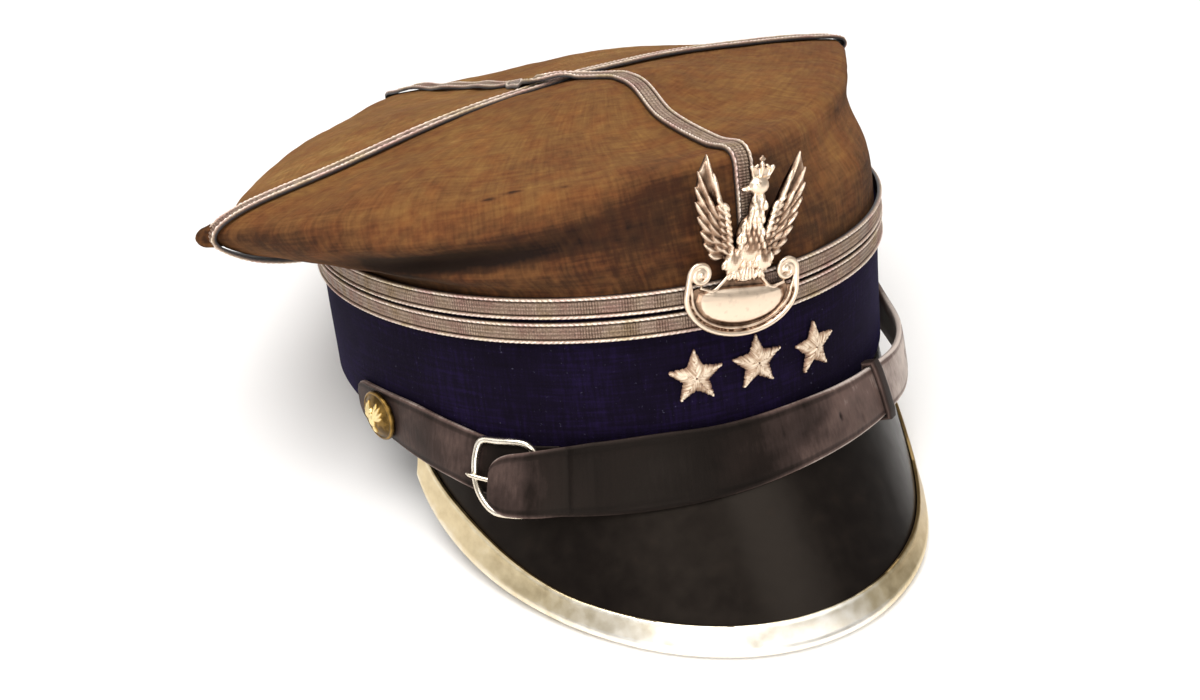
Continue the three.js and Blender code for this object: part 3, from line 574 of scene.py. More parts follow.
# %% Seams of the crown
MIDDLE = (3, 0, 87.4)
SEAMS = {
    "front": (0, [(-0.8, -102.2, 46.3), (-0.8, -102.6, 51), (-0.8, -102.8, 63), (-0.6, -102.2, 75.5),
                  (0, -99, 82.8), (0.6, -84, 81.8), (1.2, -57, 84), (6, -28, 88.6), MIDDLE]),
    "left": (90, [(88.2, 0, 46.3), (88.3, 1, 51), (89.2, 2, 61), (93.2, 4, 71.5), (104.5, 5, 79),
                  (90, 3, 82.8), (66, 1, 85.6), (34, 0, 87.8), MIDDLE]),
    "back": (180, [(0, 102.2, 46.3), (-1, 102.9, 50.4), (-6, 112, 52), (-13, 127, 54.2), (-20, 137, 60),
                   (-17, 122, 65), (-10, 86, 70.5), (-3, 42, 77.6), MIDDLE]),
    "right": (270, [(-87, 0, 46.3), (-88.4, 0, 50.4), (-101, 0, 50.4), (-114.6, 0, 54.2), (-123.2, 0, 61.4),
                    (-113.4, 0, 67.6), (-84, 0, 73.6), (-42, 0, 82.2), MIDDLE]),
}
# for each row of a seam: share of the band's roundness, then out and up in mm
PLAIN_BOW = [(1, 0, 0), (1, 0, 0), (.85, 3, 0), (.6, 3, 0), (.42, 0, 0), (.3, 0, 2), (.2, 0, 2),
             (.1, 0, 1), (0, 0, 0)]
RAISED_BOW = [(1, 0, 0), (1, 0, 0), (.85, 3, 0), (.6, 3, 1), (.42, 2, 2.5), (.3, 1, 4.2), (.2, 0, 3.2),
              (.1, 0, 1.4), (0, 0, 0)]
PANELS = {
    "front_left": ("front", "left", PLAIN_BOW),
    "back_left": ("left", "back", RAISED_BOW),
    "back_right": ("back", "right", PLAIN_BOW),
    "front_right": ("right", "front", PLAIN_BOW),
}
print("rows of a seam:", {name: len(rows) for name, (_, rows) in SEAMS.items()})

# %% [markdown]
# Old cloth is never smooth. Each row of the table of folds pushes a soft dent
# or raises a crease in a panel: a deep tuck low on the wearer's right, with the
# cloth bulging above and below it, puckers beside the front seam and shallow
# waves at the back. A cloth simulation could find folds of its own, but not
# these ones. A point of a panel is named by u, from its first seam to its
# second, and by v, from the band to the middle.

# %% Folds and points of a panel
# centre u, v, half sizes du, dv, slant, then out and up in mm
FOLDS = {
    "front_right": [
        (.43, .29, .2, .045, 0, -4.6, 0), (.46, .385, .3, .05, -.05, 2.6, 0),
        (.54, .2, .24, .04, .05, 1.2, 0), (.84, .66, .06, .16, -.8, .8, .8),
        (.93, .74, .05, .14, .6, -.9, -.6), (.3, .72, .22, .05, .25, .5, .6),
        (.62, .6, .18, .05, -.3, -.7, -.4), (.8, .36, .12, .05, .3, -1.1, 0),
    ],
    "front_left": [
        (.1, .62, .05, .14, .9, 1.0, .6), (.2, .72, .05, .12, -.9, -.9, -.5), (.3, .8, .1, .05, .5, .4, .7),
        (.35, .35, .3, .06, .3, -1.2, 0), (.5, .5, .25, .06, -.3, 1.2, 0),
    ],
    "back_right": [(.45, .62, .3, .06, .2, 0, -.9), (.5, .75, .25, .06, -.2, 0, .8)],
    "back_left": [(.5, .7, .3, .06, .2, 0, -.6)],
}


def spot(u, v, centre_u, centre_v, du, dv, slant):
    """1 at the centre of a slanted spot, fading to 0 round it."""
    across = (u - centre_u) / du
    along = (v - centre_v - slant * (u - centre_u)) / dv
    return np.exp(-across**2 - along**2)


def panel_point(name, u, v):
    """Between two seams, bowed out, and then dented and raised by the folds."""
    first, second, bow_rows = PANELS[name]
    u, v = np.broadcast_arrays(np.asarray(u, float), np.asarray(v, float))
    angle, rows = SEAMS[first]
    other_rows = SEAMS[second][1]
    share = u[..., None]
    point = smooth_curve(rows, v) * (1 - share) + smooth_curve(other_rows, v) * share
    bow = smooth_curve(bow_rows, v)
    arc = oval_point(angle + 90 * u, 0, 0)
    chord = oval_point(angle, 0, 0) * (1 - share) + oval_point(angle + 90, 0, 0) * share
    outward = oval_normal(angle + 45)
    hump = np.sin(np.pi * u) ** 2
    point = point + (arc - chord) * bow[..., :1] + outward * (hump * bow[..., 1])[..., None]
    point[..., 2] += hump * bow[..., 2]
    for *where, out, up in FOLDS.get(name, []):
        depth = spot(u, v, *where) * np.minimum(1, 3 * hump)
        point = point + outward * (depth * out)[..., None]
        point[..., 2] += depth * up
    return point


def panel_normal(name, u, v, step=0.004):
    """The panel's outward direction."""
    du = panel_point(name, np.minimum(u + step, 1), v) - panel_point(name, np.maximum(u - step, 0), v)
    dv = panel_point(name, u, np.minimum(v + step, 1)) - panel_point(name, u, np.maximum(v - step, 0))
    return unit(np.cross(du, dv))


def seam_normal(seam, v):
    """Outward on a seam: the mean of the two panels that meet there."""
    v = np.asarray(v, float)
    before = next(name for name, panel in PANELS.items() if panel[1] == seam)
    after = next(name for name, panel in PANELS.items() if panel[0] == seam)
    return unit(panel_normal(before, np.ones_like(v), v) + panel_normal(after, np.zeros_like(v), v))


print("deepest point of the tuck:", np.round(panel_point("front_right", 0.43, 0.29), 1))

# %% [markdown]
# Each panel becomes a closed wall of cloth 2 mm thick. Soft noise gives the
# slack of old wool, smaller noise its puckers, and both fade towards the seams
# and the band, where sewing holds the cloth flat. Near a seam the wall turns
# to face as the seam does, so that two panels meet edge to edge. At the
# corners it thins, because a full wall would fold into itself there.

# %% Wall of a panel
PANEL_ROWS = 156
PANEL_COLUMNS = 156
PANEL_END = 0.997
CLOTH_WALL = 2.0
SEAM_GAP = 0.15
SLACK = {"front_left": 1.0, "back_left": 0.45, "back_right": 0.45, "front_right": 1.0}


def near_seams(u):
    """1 on the panel's two seams and 0 from a fifth of the way in."""
    return np.maximum(smoothstep(0.2, 0, u), smoothstep(0.8, 1, u))


def outer_face(name, u, v):
    """The panel with its slack and its puckers, moved in a hair at the seams."""
    point = panel_point(name, u, v)
    held = smoothstep(0, 0.12, u) * smoothstep(0, 0.12, 1 - u) * smoothstep(0, 0.1, v)
    held = held * smoothstep(0, 0.06, 1 - v)
    slack = (soft_noise(point, 34, 5.3) * 1.5 + soft_noise(point, 13, 1.7) * 0.5) * SLACK[name]
    puckers = soft_noise(point * (1, 1, 0.5), 6, 9.2) * 0.12
    outer = point + panel_normal(name, u, v) * (slack * held + puckers)[..., None]
    edge_in = np.where(u < 0.5, SEAM_GAP, -SEAM_GAP) * ((u == 0) | (u == 1))
    return outer + unit(np.gradient(outer, axis=0)) * edge_in[..., None]


def inner_face(name, u, v, outer):
    """The outer face moved in by the cloth's wall."""
    turned = near_seams(u)[..., None]
    first, second = PANELS[name][:2]
    seam_side = np.where((u < 0.5)[..., None], seam_normal(first, v), seam_normal(second, v))
    inward = unit(panel_normal(name, u, v) * (1 - turned) + seam_side * turned)
    wall = 1 - 0.6 * np.exp(-(((v - 0.5) / 0.07) ** 2)) * near_seams(u)
    return outer - inward * (CLOTH_WALL * wall)[..., None]


print("wall of a panel:", CLOTH_WALL, "mm, its seams", 2 * SEAM_GAP, "mm apart")

# %% [markdown]
# The tone of the wool is paler where a panel faces up, a little more at the
# back: partly faded cloth, partly painted light from above. The tuck and the
# cloth above the band are darkened with painted shade, with more painted shade
# beside the badge, and three small moth spots stand out on the wearer's right.
# Each dark patch is a soft spot like a fold.

# %% Tone of the wool
BACK_FADE = {"back_right": 0.1, "back_left": 0.08}
# dark patches on the wool: mostly painted shade in the tuck, above the band and beside the badge, and three
# small moth spots
# centre u, v, half sizes du, dv, slant and how dark
PAINTED_SHADE_AND_SPOTS = {
    "front_right": [
        (.38, .285, .15, .04, 0, .55), (.54, .295, .15, .035, 0, .38), (.4, .4, .3, .1, -.2, .06),
        (.66, .36, .2, .07, -.2, .16), (.33, .2, .12, .07, 0, .3), (.12, .45, .1, .12, 0, .12),
        (.572, .522, .012, .006, 0, .5), (.617, .539, .014, .005, .2, .45),
        (.706, .517, .008, .005, 0, .3), (.87, .45, .08, .18, 0, .2), (.79, .34, .09, .12, 0, .12),
    ],
    "front_left": [(.05, .3, .08, .2, 0, .12), (.9, .5, .2, .3, 0, .05)],
}
INSIDE_DARKER = 0.1


def wool_tone(name, u, v):
    """How much paler or darker than the plain wool each point is."""
    facing_up = panel_normal(name, u, v)[..., 2]
    # paler where the cloth faces up: partly faded wool, partly painted light from above
    faded_and_top_light = smoothstep(0.2, 0.95, facing_up) * 0.17 + BACK_FADE.get(name, 0.0)
    # painted shade above the band, then the painted shade and moth spots of the table
    dark_patches = -0.1 * smoothstep(0.34, 0.1, v)
    for *where, depth in PAINTED_SHADE_AND_SPOTS.get(name, []):
        dark_patches = dark_patches - depth * spot(u, v, *where)
    return faded_and_top_light + dark_patches


print("tone in the tuck:", np.round(wool_tone("front_right", 0.38, 0.285), 2))

# %% [markdown]
# With a face, a wall and a tone at hand, a panel is a grid of points: each
# column runs up the outer face and back down the inner one, and the columns
# follow each other from seam to seam.

# %% Wool panels
def build_panel(name):
    u = np.linspace(0, 1, PANEL_COLUMNS)[:, None]
    v = np.linspace(0, PANEL_END, PANEL_ROWS)[None, :]
    u, v = np.broadcast_arrays(u, v)
    outer = outer_face(name, u, v)
    inner = inner_face(name, u, v, outer)
    rings = np.concatenate([outer, inner[:, ::-1]], axis=1)
    point = panel_point(name, u, v)
    up_mm = np.linalg.norm(np.diff(point, axis=1), axis=-1).cumsum(1).mean(0)
    up_mm = np.concatenate([[0], up_mm])
    width = np.linalg.norm(np.diff(point, axis=0), axis=-1).sum(0).max()
    cloth = np.stack([u * width, np.broadcast_to(up_mm, u.shape), np.zeros_like(u)], -1)
    tone = wool_tone(name, u, v)
    values = {
        "cloth": np.concatenate([cloth, cloth[:, ::-1]], axis=1),
        "tone": np.concatenate([tone, tone[:, ::-1] - INSIDE_DARKER], axis=1),
    }
    swept_piece(f"wool_{name}", rings, WOOL, [f"crown_{name}"], values=values, crease=60)


for panel_name in PANELS:
    build_panel(panel_name)

# %% [markdown]
# At the wearer's right corner a pinch of wool sticks out past the lace that
# wraps it. It is a small rounded tongue: ovals along a line, shrinking as a
# blunt nose does, with noise to make it lumpy.

# %% Wool tip
TIP = {"from": -118.0, "to": -128.2, "y": 3.2, "z": 61.2, "half_y": 2.4, "half_z": 4.0}


def build_wool_tip():
    share = np.linspace(0, 0.995, 22)
    radius = np.sqrt(1 - share**3)
    turns = np.linspace(0, 2 * np.pi, 28, endpoint=False)
    x = TIP["from"] + (TIP["to"] - TIP["from"]) * share
    y = TIP["y"] + radius[:, None] * TIP["half_y"] * np.cos(turns)
    z = TIP["z"] + radius[:, None] * TIP["half_z"] * np.sin(turns)
    rings = np.stack(np.broadcast_arrays(x[:, None], y, z), -1)
    rings = rings + soft_noise(rings, 3.5, 2.2)[..., None] * 0.5
    cloth = np.stack([rings[..., 0], rings[..., 2], np.zeros(rings.shape[:2])], -1)
    tone = np.full(rings.shape[:2], -0.1) + soft_noise(rings, 1.2, 4.1) * 0.25
    swept_piece("wool_tip", rings, WOOL, values={"cloth": cloth, "tone": tone}, crease=80)


build_wool_tip()

# %% [markdown]
# Lace is a ribbon with a cord along each edge and a braided middle. Here its
# section has 21 points across, and the weave raises and lowers them along the
# ribbon: a twist in the two cords and chevrons between them. The threads are
# drawn at a pitch of 1.6 mm, a little coarser than real ones, so that they
# show. The height of each point in the weave is kept for the material. A bump
# texture would be lighter, but the cords stand out in the outline too.

# %% Woven lace
LACE_PITCH = 1.6
LACE_BASE = 0.25
UNDERSIDE = np.array([1, 0.5, -0.5, -1])
LACE_ACROSS = np.array([-1, -.97, -.9, -.8, -.7, -.64, -.58, -.44, -.3, -.15, 0, .15, .3, .44, .58, .64,
                        .7, .8, .9, .97, 1])


def lace_height(along, across):
    """Height of the weave, 0 to 1, at millimetres along and a share across."""
    side = np.abs(across)
    cord = np.sqrt(np.clip(1 - ((side - 0.82) / 0.18) ** 2, 0, 1))
    twist = 0.9 + 0.1 * np.cos(2 * np.pi * (along / LACE_PITCH + side * 2))
    one_way = np.cos(2 * np.pi * (along / LACE_PITCH - across * 1.3))
    other_way = np.cos(2 * np.pi * (along / LACE_PITCH + across * 1.3))
    crossing = one_way * other_way
    braided = (0.5 + 0.2 * crossing) * smoothstep(0.68, 0.56, side)
    return np.maximum(cord * twist, braided)


def ribbon(points, normals, sides, width, thick, lift=0.0):
    """Rings of a lace ribbon along a path, and the relief of each point."""
    steps = np.linalg.norm(np.diff(points, axis=0), axis=-1)
    along = np.concatenate([[0], steps.cumsum()])[:, None]
    relief = lace_height(along, LACE_ACROSS[None, :])
    top = LACE_BASE + (thick - LACE_BASE) * relief
    offset = np.broadcast_to(np.asarray(lift, float).reshape(-1, 1), (len(points), 1))
    spread = sides[:, None] * (LACE_ACROSS[None, :, None] * width / 2)
    upper = points[:, None] + spread + normals[:, None] * (top + offset)[..., None]
    under = points[:, None] + sides[:, None] * (UNDERSIDE[None, :, None] * width / 2)
    under = under + normals[:, None] * offset[..., None]
    rings = np.concatenate([upper, under], axis=1)
    depth = np.concatenate([relief, np.zeros((len(points), len(UNDERSIDE)))], axis=1)
    return rings, depth


print("weave at the middle of a cord:", round(float(lace_height(0.0, 0.82)), 2))

# %% [markdown]
# Two rows of this lace run round the band, the lower one on the navy cloth and
# the upper one over the join with the crown. They wander a little, as hand
# sewn lace does, so the gap between them is never quite even.

# %% Lace round the band
BAND_LACE = {"width": 6.3, "thick": 1.5, "standoff": 0.3, "stations": 1500}
# height of the lower edge in mm, and where its wandering starts
BAND_LACE_ROWS = {"lower": (36.0, 1.3), "upper": (43.1, 7.9)}


def build_band_lace(row, bottom, seed):
    angles = np.linspace(0, 360, BAND_LACE["stations"], endpoint=False)
    turn = np.radians(angles)
    wander = 0.35 * np.sin(2 * turn + seed) + 0.22 * np.sin(5 * turn + 2 * seed)
    points = oval_point(angles, BAND_LACE["standoff"], bottom + BAND_LACE["width"] / 2 + wander * 0.6)
    normals = oval_normal(angles)
    sides = np.broadcast_to(np.array([0.0, 0.0, -1.0]), points.shape)
    rings, depth = ribbon(points, normals, sides, BAND_LACE["width"], BAND_LACE["thick"])
    swept_piece(f"lace_band_{row}", rings, LACE, [f"band_braid_{row}"], closed=True,
                values={"relief": depth})


for row_name, (row_bottom, row_seed) in BAND_LACE_ROWS.items():
    build_band_lace(row_name, row_bottom, row_seed)

# %% [markdown]
# Over the crown the same lace is sewn along the seams, from corner to corner.
# One ribbon goes from the wearer's right over the top to the left, and keeps to
# the seams. The other goes from the front to the back. Near the top it leaves
# the seams, crosses the first at a slant and lies in waves down the back, as a
# ribbon does when the sewing has let go. It follows a smooth curve through
# seam points, a few points of the panels and seam points again.

# %% Paths of the crown's lace
CROWN_LACE = {"width": 6.0, "thick": 1.5, "standoff": 0.3, "stations": 620}
# how far up each seam its lace starts, and where the two ribbons cross on the right seam
LACE_FROM = {"front": 0.15, "left": 0.15, "back": 0.19, "right": 0.19}
CROSSING_V = 0.958
# panel, u and v of the points where the front to back lace is off its seams
SLANTED_CROSSING = [
    ("front_right", .85, .953), ("front_right", .6, .968), ("front_right", .3, .966),
    ("front_right", .0, CROSSING_V), ("back_right", .75, .945), ("back_right", .5, .93),
    ("back_right", .3, .91), ("back_right", .12, .885),
]
WAVES = {"from": 10, "to": 40, "sideways": 0.8, "side_mm": 5.2, "lift": 0.35, "lift_mm": 4.1}


def squared(points, normals):
    """Outward directions made square to a path, and the directions across it."""
    along = unit(np.gradient(points, axis=0))
    normals = unit(normals - along * (normals * along).sum(-1, keepdims=True))
    return normals, np.cross(normals, along)


def seam_path(first, second):
    """Up one seam and down another: points, outward directions and directions across."""
    half = CROWN_LACE["stations"] // 2
    up = np.linspace(LACE_FROM[first], 1, half)
    down = np.linspace(1, LACE_FROM[second], half)[1:]
    points = np.concatenate([smooth_curve(SEAMS[first][1], up), smooth_curve(SEAMS[second][1], down)])
    normals = np.concatenate([seam_normal(seam, np.minimum(v, 0.97))
                              for seam, v in ((first, up), (second, down))])
    return points, *squared(points, normals)


def slanted_path():
    """From front to back, off the seams near the top and wavy behind."""
    up = np.linspace(LACE_FROM["front"], 0.92, 34)
    down = np.linspace(0.86, LACE_FROM["back"], 31)
    keys = [smooth_curve(SEAMS["front"][1], v) for v in up]
    keys += [panel_point(*place) for place in SLANTED_CROSSING]
    keys += [smooth_curve(SEAMS["back"][1], v) for v in down]
    outward = [seam_normal("front", v) for v in up]
    outward += [panel_normal(*place) for place in SLANTED_CROSSING]
    outward += [seam_normal("back", v) for v in down]
    share = np.linspace(0, 1, 2 * CROWN_LACE["stations"])
    points = smooth_curve(keys, share)
    normals = unit(smooth_curve(outward, share))
    for _ in range(6):
        points[1:-1] = (points[:-2] + 2 * points[1:-1] + points[2:]) / 4
        normals[1:-1] = (normals[:-2] + 2 * normals[1:-1] + normals[2:]) / 4
    normals, sides = squared(points, normals)
    length = np.concatenate([[0], np.linalg.norm(np.diff(points, axis=0), axis=-1).cumsum()])
    behind = smoothstep(WAVES["from"], WAVES["to"], points[:, 1])[:, None]
    sway = WAVES["sideways"] * np.sin(length / WAVES["side_mm"])[:, None]
    rise = WAVES["lift"] * (1 + np.sin(length / WAVES["lift_mm"] + 1))[:, None]
    points = points + sides * behind * sway
    points = points + normals * behind * rise
    return points, normals, sides


crossing_at = smooth_curve(SEAMS["right"][1], CROSSING_V)
print("the slanted lace crosses near", np.round(crossing_at, 1))

# %% [markdown]
# Where the two ribbons cross, the second has to climb over the first. So it
# gets a lift that is flat over the crossing and falls off on both sides of it.

# %% Lace over the crown
CROSSING_LIFT = 2.2


def build_crown_lace(name, path, crossing, lift):
    points, normals, sides = path
    from_crossing = np.linalg.norm(points - np.array(crossing), axis=-1) / (1.7 * CROWN_LACE["width"])
    hump = CROWN_LACE["standoff"] + lift * np.exp(-from_crossing**4)
    rings, depth = ribbon(points, normals, sides, CROWN_LACE["width"], CROWN_LACE["thick"], hump)
    swept_piece(f"lace_{name}", rings, LACE, [f"crown_braid_{name}"],
                values={"relief": depth})


build_crown_lace("left_right", seam_path("right", "left"), MIDDLE, 0.0)
build_crown_lace("front_back", slanted_path(), crossing_at, CROSSING_LIFT)

# %% [markdown]
# The peak is a board of leather, bent down steeply and varnished. It is ruled
# from a seam under the band's edge to a rim curve, as the real one is bent
# over a block: straight lines from the seam to the edge make the same single
# curve as bent board. Years of storage have tucked its edge in on the wearer's
# left. p is an angle round the peak and s goes from the seam, 0, to the edge, 1.

# %% Patent peak
PEAK = {"reach": 33.4, "side_y": 36.85, "flare": 1.0, "drop": 49.0, "droop": 0.4, "pinch": 0.04,
        "left_tuck": 2.5, "side_tuck": 6.0, "thick": 2.4, "seam_angle": 69.0, "end": 88.0}
PEAK_STATIONS = 200
PEAK_ROWS = 36


def peak_seam(p):
    """Where the peak is sewn under the band."""
    return oval_point(p * PEAK["seam_angle"] / 90, -1.6, -0.3)


def peak_edge(p):
    """The peak's lower edge: lowest in front, and tucked in at the wearer's left."""
    a = np.radians(p)
    c = np.maximum(0, np.cos(a))
    side = PEAK["flare"] + BAND["half_width"] * math.sqrt(1 - (PEAK["side_y"] / BAND["half_depth"]) ** 2)
    y = -(PEAK["side_y"] + (BAND["half_depth"] + PEAK["reach"] - PEAK["side_y"]) * c)
    tuck = np.where(p > 0, PEAK["left_tuck"] * np.sin(2 * a) ** 2, 0)
    tuck = tuck + PEAK["side_tuck"] * smoothstep(30, 68, p)
    x = side * np.sin(a) * (1 - PEAK["pinch"] * c * c) - tuck
    return np.stack([x, y, -PEAK["drop"] * c ** PEAK["droop"]], -1)


def peak_point(p, s):
    """A point on the straight line from the seam, 0, to the edge, 1."""
    p, s = np.broadcast_arrays(np.asarray(p, float), np.asarray(s, float))
    return peak_seam(p) * (1 - s[..., None]) + peak_edge(p) * s[..., None]


def peak_normal(p, s):
    """The peak's outward direction."""
    du = peak_point(p + 0.5, s) - peak_point(p - 0.5, s)
    ds = peak_point(p, s - 0.02) - peak_point(p, s + 0.02)
    return unit(np.cross(du, ds))


def build_peak():
    p = np.linspace(-PEAK["end"], PEAK["end"], PEAK_STATIONS)[:, None]
    s = np.linspace(1, 0, PEAK_ROWS)[None, :]
    top = peak_point(p, s)
    normal = peak_normal(p, s)
    rings = np.concatenate([top, (top - normal * PEAK["thick"])[:, ::-1]], axis=1)
    swept_piece("patent_peak", rings, PATENT, ["peak"], crease=50)


build_peak()

# %% [markdown]
# The rim is a strip of brass rolled into a channel and pressed over the
# peak's edge. Its section runs from the under flange, round the edge and over
# the broad upper flange, which ends in a soft lip and widens towards the
# wearer's right. The relief value is high on the crown of the bend, where the
# table and the hand polish it, and it falls off towards the two ends. Along the
# rim it is raised in front and lowered at both ends, most on the wearer's left:
# partly wear, partly a painted highlight where the front of the rim shines.

# %% Brass rim
RIM = {"flange": 7.8, "right_flange": 4.6, "under_flange": 6.0, "thick": 0.8, "gap": 0.3,
       "bend_steps": 10, "dents": 0.15, "stations": 260}
# share of the upper flange, and share of the lip's height there
RIM_LIP = [(0.2, 0), (0.4, 0), (0.6, 0.1), (0.8, 0.25), (0.92, 0.6), (1, 0.2)]
# brighter in front: partly wear, partly a painted highlight
# angle round the peak, and how much brighter or duller the brass is there
RIM_WEAR_AND_PAINTED_HIGHLIGHT = [(-88, -0.12), (-58, -0.12), (-42, 0.15), (-25, 0.25), (4, 0.2), (20, -0.25), (88, -0.35)]


def rim_rings(p, clearance, lip):
    """One face of the channel, from under the peak round its edge and over it."""
    edge = peak_edge(p)
    inwards = peak_seam(p) - edge
    length = np.linalg.norm(inwards, axis=-1, keepdims=True)
    inwards = inwards / length
    normal = peak_normal(p, np.ones_like(p))
    radius = PEAK["thick"] / 2 + clearance
    centre = edge - normal * PEAK["thick"] / 2
    flange = RIM["flange"] + RIM["right_flange"] * smoothstep(48, 78, -p)[:, None]
    flange = np.minimum(flange, length * 0.75)
    under = np.minimum(RIM["under_flange"], length * 0.6)
    rows = [centre + inwards * (-1 + under * t) - normal * radius for t in (1, 0.6, 0.2)]
    for angle in np.radians(np.linspace(-90, 90, RIM["bend_steps"])):
        rows.append(centre - inwards * radius * math.cos(angle) + normal * radius * math.sin(angle))
    rows += [centre + inwards * (-1 + flange * t) + normal * (radius + lip * bulge) for t, bulge in RIM_LIP]
    return np.stack(rows, axis=1)


def build_rim():
    p = np.linspace(-PEAK["end"], PEAK["end"], RIM["stations"])
    outer = rim_rings(p, RIM["gap"] + RIM["thick"], 0.5)
    inner = rim_rings(p, RIM["gap"], 0.0)
    dents = (soft_noise(outer, 16, 4.4)[..., None] - 1) * RIM["dents"]
    outer = outer + unit(outer - inner.mean(axis=1, keepdims=True)) * dents
    rings = np.concatenate([outer, inner[:, ::-1]], axis=1)
    under, bend = np.linspace(0.3, 0.5, 3), np.full(RIM["bend_steps"], 0.75)
    over, inside = np.linspace(0.6, 0.55, 4), np.full(outer.shape[1], 0.2)
    relief = np.concatenate([under, bend, over, [0.7, 0.35], inside])
    wear_and_painted_light = np.interp(p, *zip(*RIM_WEAR_AND_PAINTED_HIGHLIGHT))
    swept_piece("brass_rim", rings, RIM_BRASS, ["peak_rim"],
                values={"relief": relief[None, :] + wear_and_painted_light[:, None]}, crease=60)


build_rim()

# %% [markdown]
# The chin strap lies along the foot of the band and leans out over the root of
# the steep peak. Each strap is a table of rows: at an angle round the band, how
# far its upper and lower edges stand out, and their heights. A smooth curve
# through the rows, and a share w across the strap, place any point of it.

# %% Where the straps lie
STRAP_THICK = 2.0
STRAP_WIDTH = 17
# angle, then out and height of the upper edge, out and height of the lower edge
SHORT_STRAP = [
    (-84, .5, 10.5, .5, -3.5), (-75, .5, 11.2, .5, -4.5), (-66, .8, 11, 3, -5.5),
    (-57, 1, 8.2, 5.5, -7.4), (-49, 1, 5.2, 7, -10), (-43, 1, 4.2, 7.3, -10.6), (-37, .8, 4.4, 6.4, -10.6),
]
LONG_STRAP = [
    (-47.6, 7.4, 3.4, 13.4, -12.2), (-44, 6, 3.8, 12.8, -13), (-40, 5, 4.8, 12.4, -12.8),
    (-36, 3.6, 5.6, 10.4, -12.8), (-31, 2.6, 6.6, 8.6, -13.4), (-20, 1.6, 7.5, 7.4, -13.2),
    (-8, 1.4, 7, 7.2, -12.4), (7, 1.4, 7, 6.8, -11), (20, 2.2, 6, 7, -10.4), (31, 3.0, 4.6, 7.4, -10.6),
    (42, 4.8, 3.2, 7.2, -12), (52, 4.8, 3.6, 6.4, -11.6), (61, 2.4, 6.2, 3.4, -9.4),
    (69, .6, 10.4, .8, -5.4), (76, .5, 11.2, .5, -4.5), (84, .5, 10.5, .5, -3.5),
]


def strap_point(rows, angle, w, depth):
    """w runs from the upper edge, 0, to the lower, 1; depth goes out from the inner face."""
    angle, w, depth = np.broadcast_arrays(np.asarray(angle, float), w, depth)
    share = np.interp(angle, [row[0] for row in rows], np.linspace(0, 1, len(rows)))
    edges = smooth_curve([row[1:] for row in rows], share)
    across = edges[..., 2:] - edges[..., :2]
    place = edges[..., :2] + across * w[..., None]
    across = unit(across)
    return oval_point(angle, place[..., 0] - across[..., 1] * depth, place[..., 1] + across[..., 0] * depth)


print("the long strap in front:", np.round(strap_point(LONG_STRAP, 0, 0.5, STRAP_THICK), 1))

# %% [markdown]
# A strap that has been worn is pillowed, its cut edges are rounded and a
# creased line runs just inside them. It has bends, bulges and old holes at
# known places. It is paler where it stands out from the peak, partly rubbed and
# partly painted light, with a painted shadow under the buckle and painted shade
# across the front. Each mark is a soft spot that moves the surface and changes
# its tone together: dips are darker with painted shade, bulges paler with
# painted light, and the holes are darker too.

# %% Shape and wear of the leather
STRAP_EDGES = np.array([.012, .035, .07, .105, .14, .2, .3, .4, .5, .6, .7, .8, .86, .895, .93, .965, .988])
CREASE_AT = 0.085
# the tone tables paint light and shade over real wear: a painted shadow on the short strap under the
# buckle, painted light on the long strap's raised end inside it, painted shade across the front and painted
# light on the wearer's left
# angle round the band, and how much paler or darker the leather is there
SHORT_STRAP_TONE = [(-84, .12), (-56, .1), (-51, .02), (-47, -.35), (-37, -.4)]
LONG_STRAP_TONE = [
    (-48, .14), (-43, .12), (-38, -.1), (-30, -.28), (-12, -.32), (-4, -.14), (4, .06), (14, .2),
    (26, .24), (34, .42), (46, .5), (56, .3), (66, .1), (84, 0),
]
# in the tone column, dips carry painted shade and bulges painted light; the holes are darker too
# creases, bulges and worn holes: angle, w, half sizes in degrees and w, slant, height in mm, tone
STRAP_MARKS = [
    (-35, .5, .5, .8, 0, -.22, -.08), (-41, .5, .7, .7, 0, -.15, -.06), (-16, .7, 5, .1, .02, -.3, -.05),
    (-5, .62, 7, .16, -.03, .35, .06), (7, .5, 6, .1, -.03, -.35, -.08), (16, .35, 5, .14, -.03, .3, .06),
    (2.6, .35, .35, .045, 0, -.5, -.35), (15.5, .5, .3, .04, 0, -.4, -.3), (21, .75, .5, .05, 0, -.2, -.15),
    (46, .45, .5, .06, 0, -.5, -.35),
]


def strap_face(w):
    """Depth of the outer face: pillowed, creased 1.4 mm in, rounded at the edges."""
    edge = np.minimum(w, 1 - w)
    pillow = 0.25 * (1 - (1 - 2 * edge) ** 4)
    crease = -0.28 * np.exp(-(((edge - CREASE_AT) / 0.022) ** 2))
    rounded = -0.75 * np.clip(1 - edge / 0.05, 0, 1) ** 2
    return STRAP_THICK - 0.2 + pillow + crease + rounded


def strap_marks(angles, w):
    """Height in mm and tone of the marks at each point."""
    marks = np.zeros((2,) + w.shape)
    for *where, height, tone in STRAP_MARKS:
        marks += spot(angles[:, None], w, *where) * np.array([height, tone])[:, None, None]
    return marks


print("thickest part of the strap:", round(float(strap_face(0.5)), 2), "mm")

# %% [markdown]
# The short strap carries the buckle and the long one passes through it. Rows of
# points across the strap are carried round the band. They crowd together
# towards an end that shows, and the strap narrows there along an arc, so that
# the end is as round as a knife cuts it.

# %% Straps
INNER_ROWS = [0.97, 0.7, 0.3, 0.03]
CUT_EDGE = np.array([1.3, 0.5])
ROUND_END = {"degrees": 3.4, "crowded": 2.0, "rows": 12}


def strap_angles(rows, stations, round_to):
    """Angles along the strap, closer together towards its rounded ends."""
    start, end = rows[0][0], rows[-1][0]
    squeeze, crowded = np.linspace(0, 1, ROUND_END["rows"]), ROUND_END["crowded"]
    rest = np.linspace(start + crowded, end, stations)
    angles = np.concatenate([start + squeeze[:-1] ** 2 * crowded, rest])
    if round_to:
        angles = np.concatenate([angles[angles < end - crowded], end - squeeze[::-1] ** 2 * crowded])
    return angles


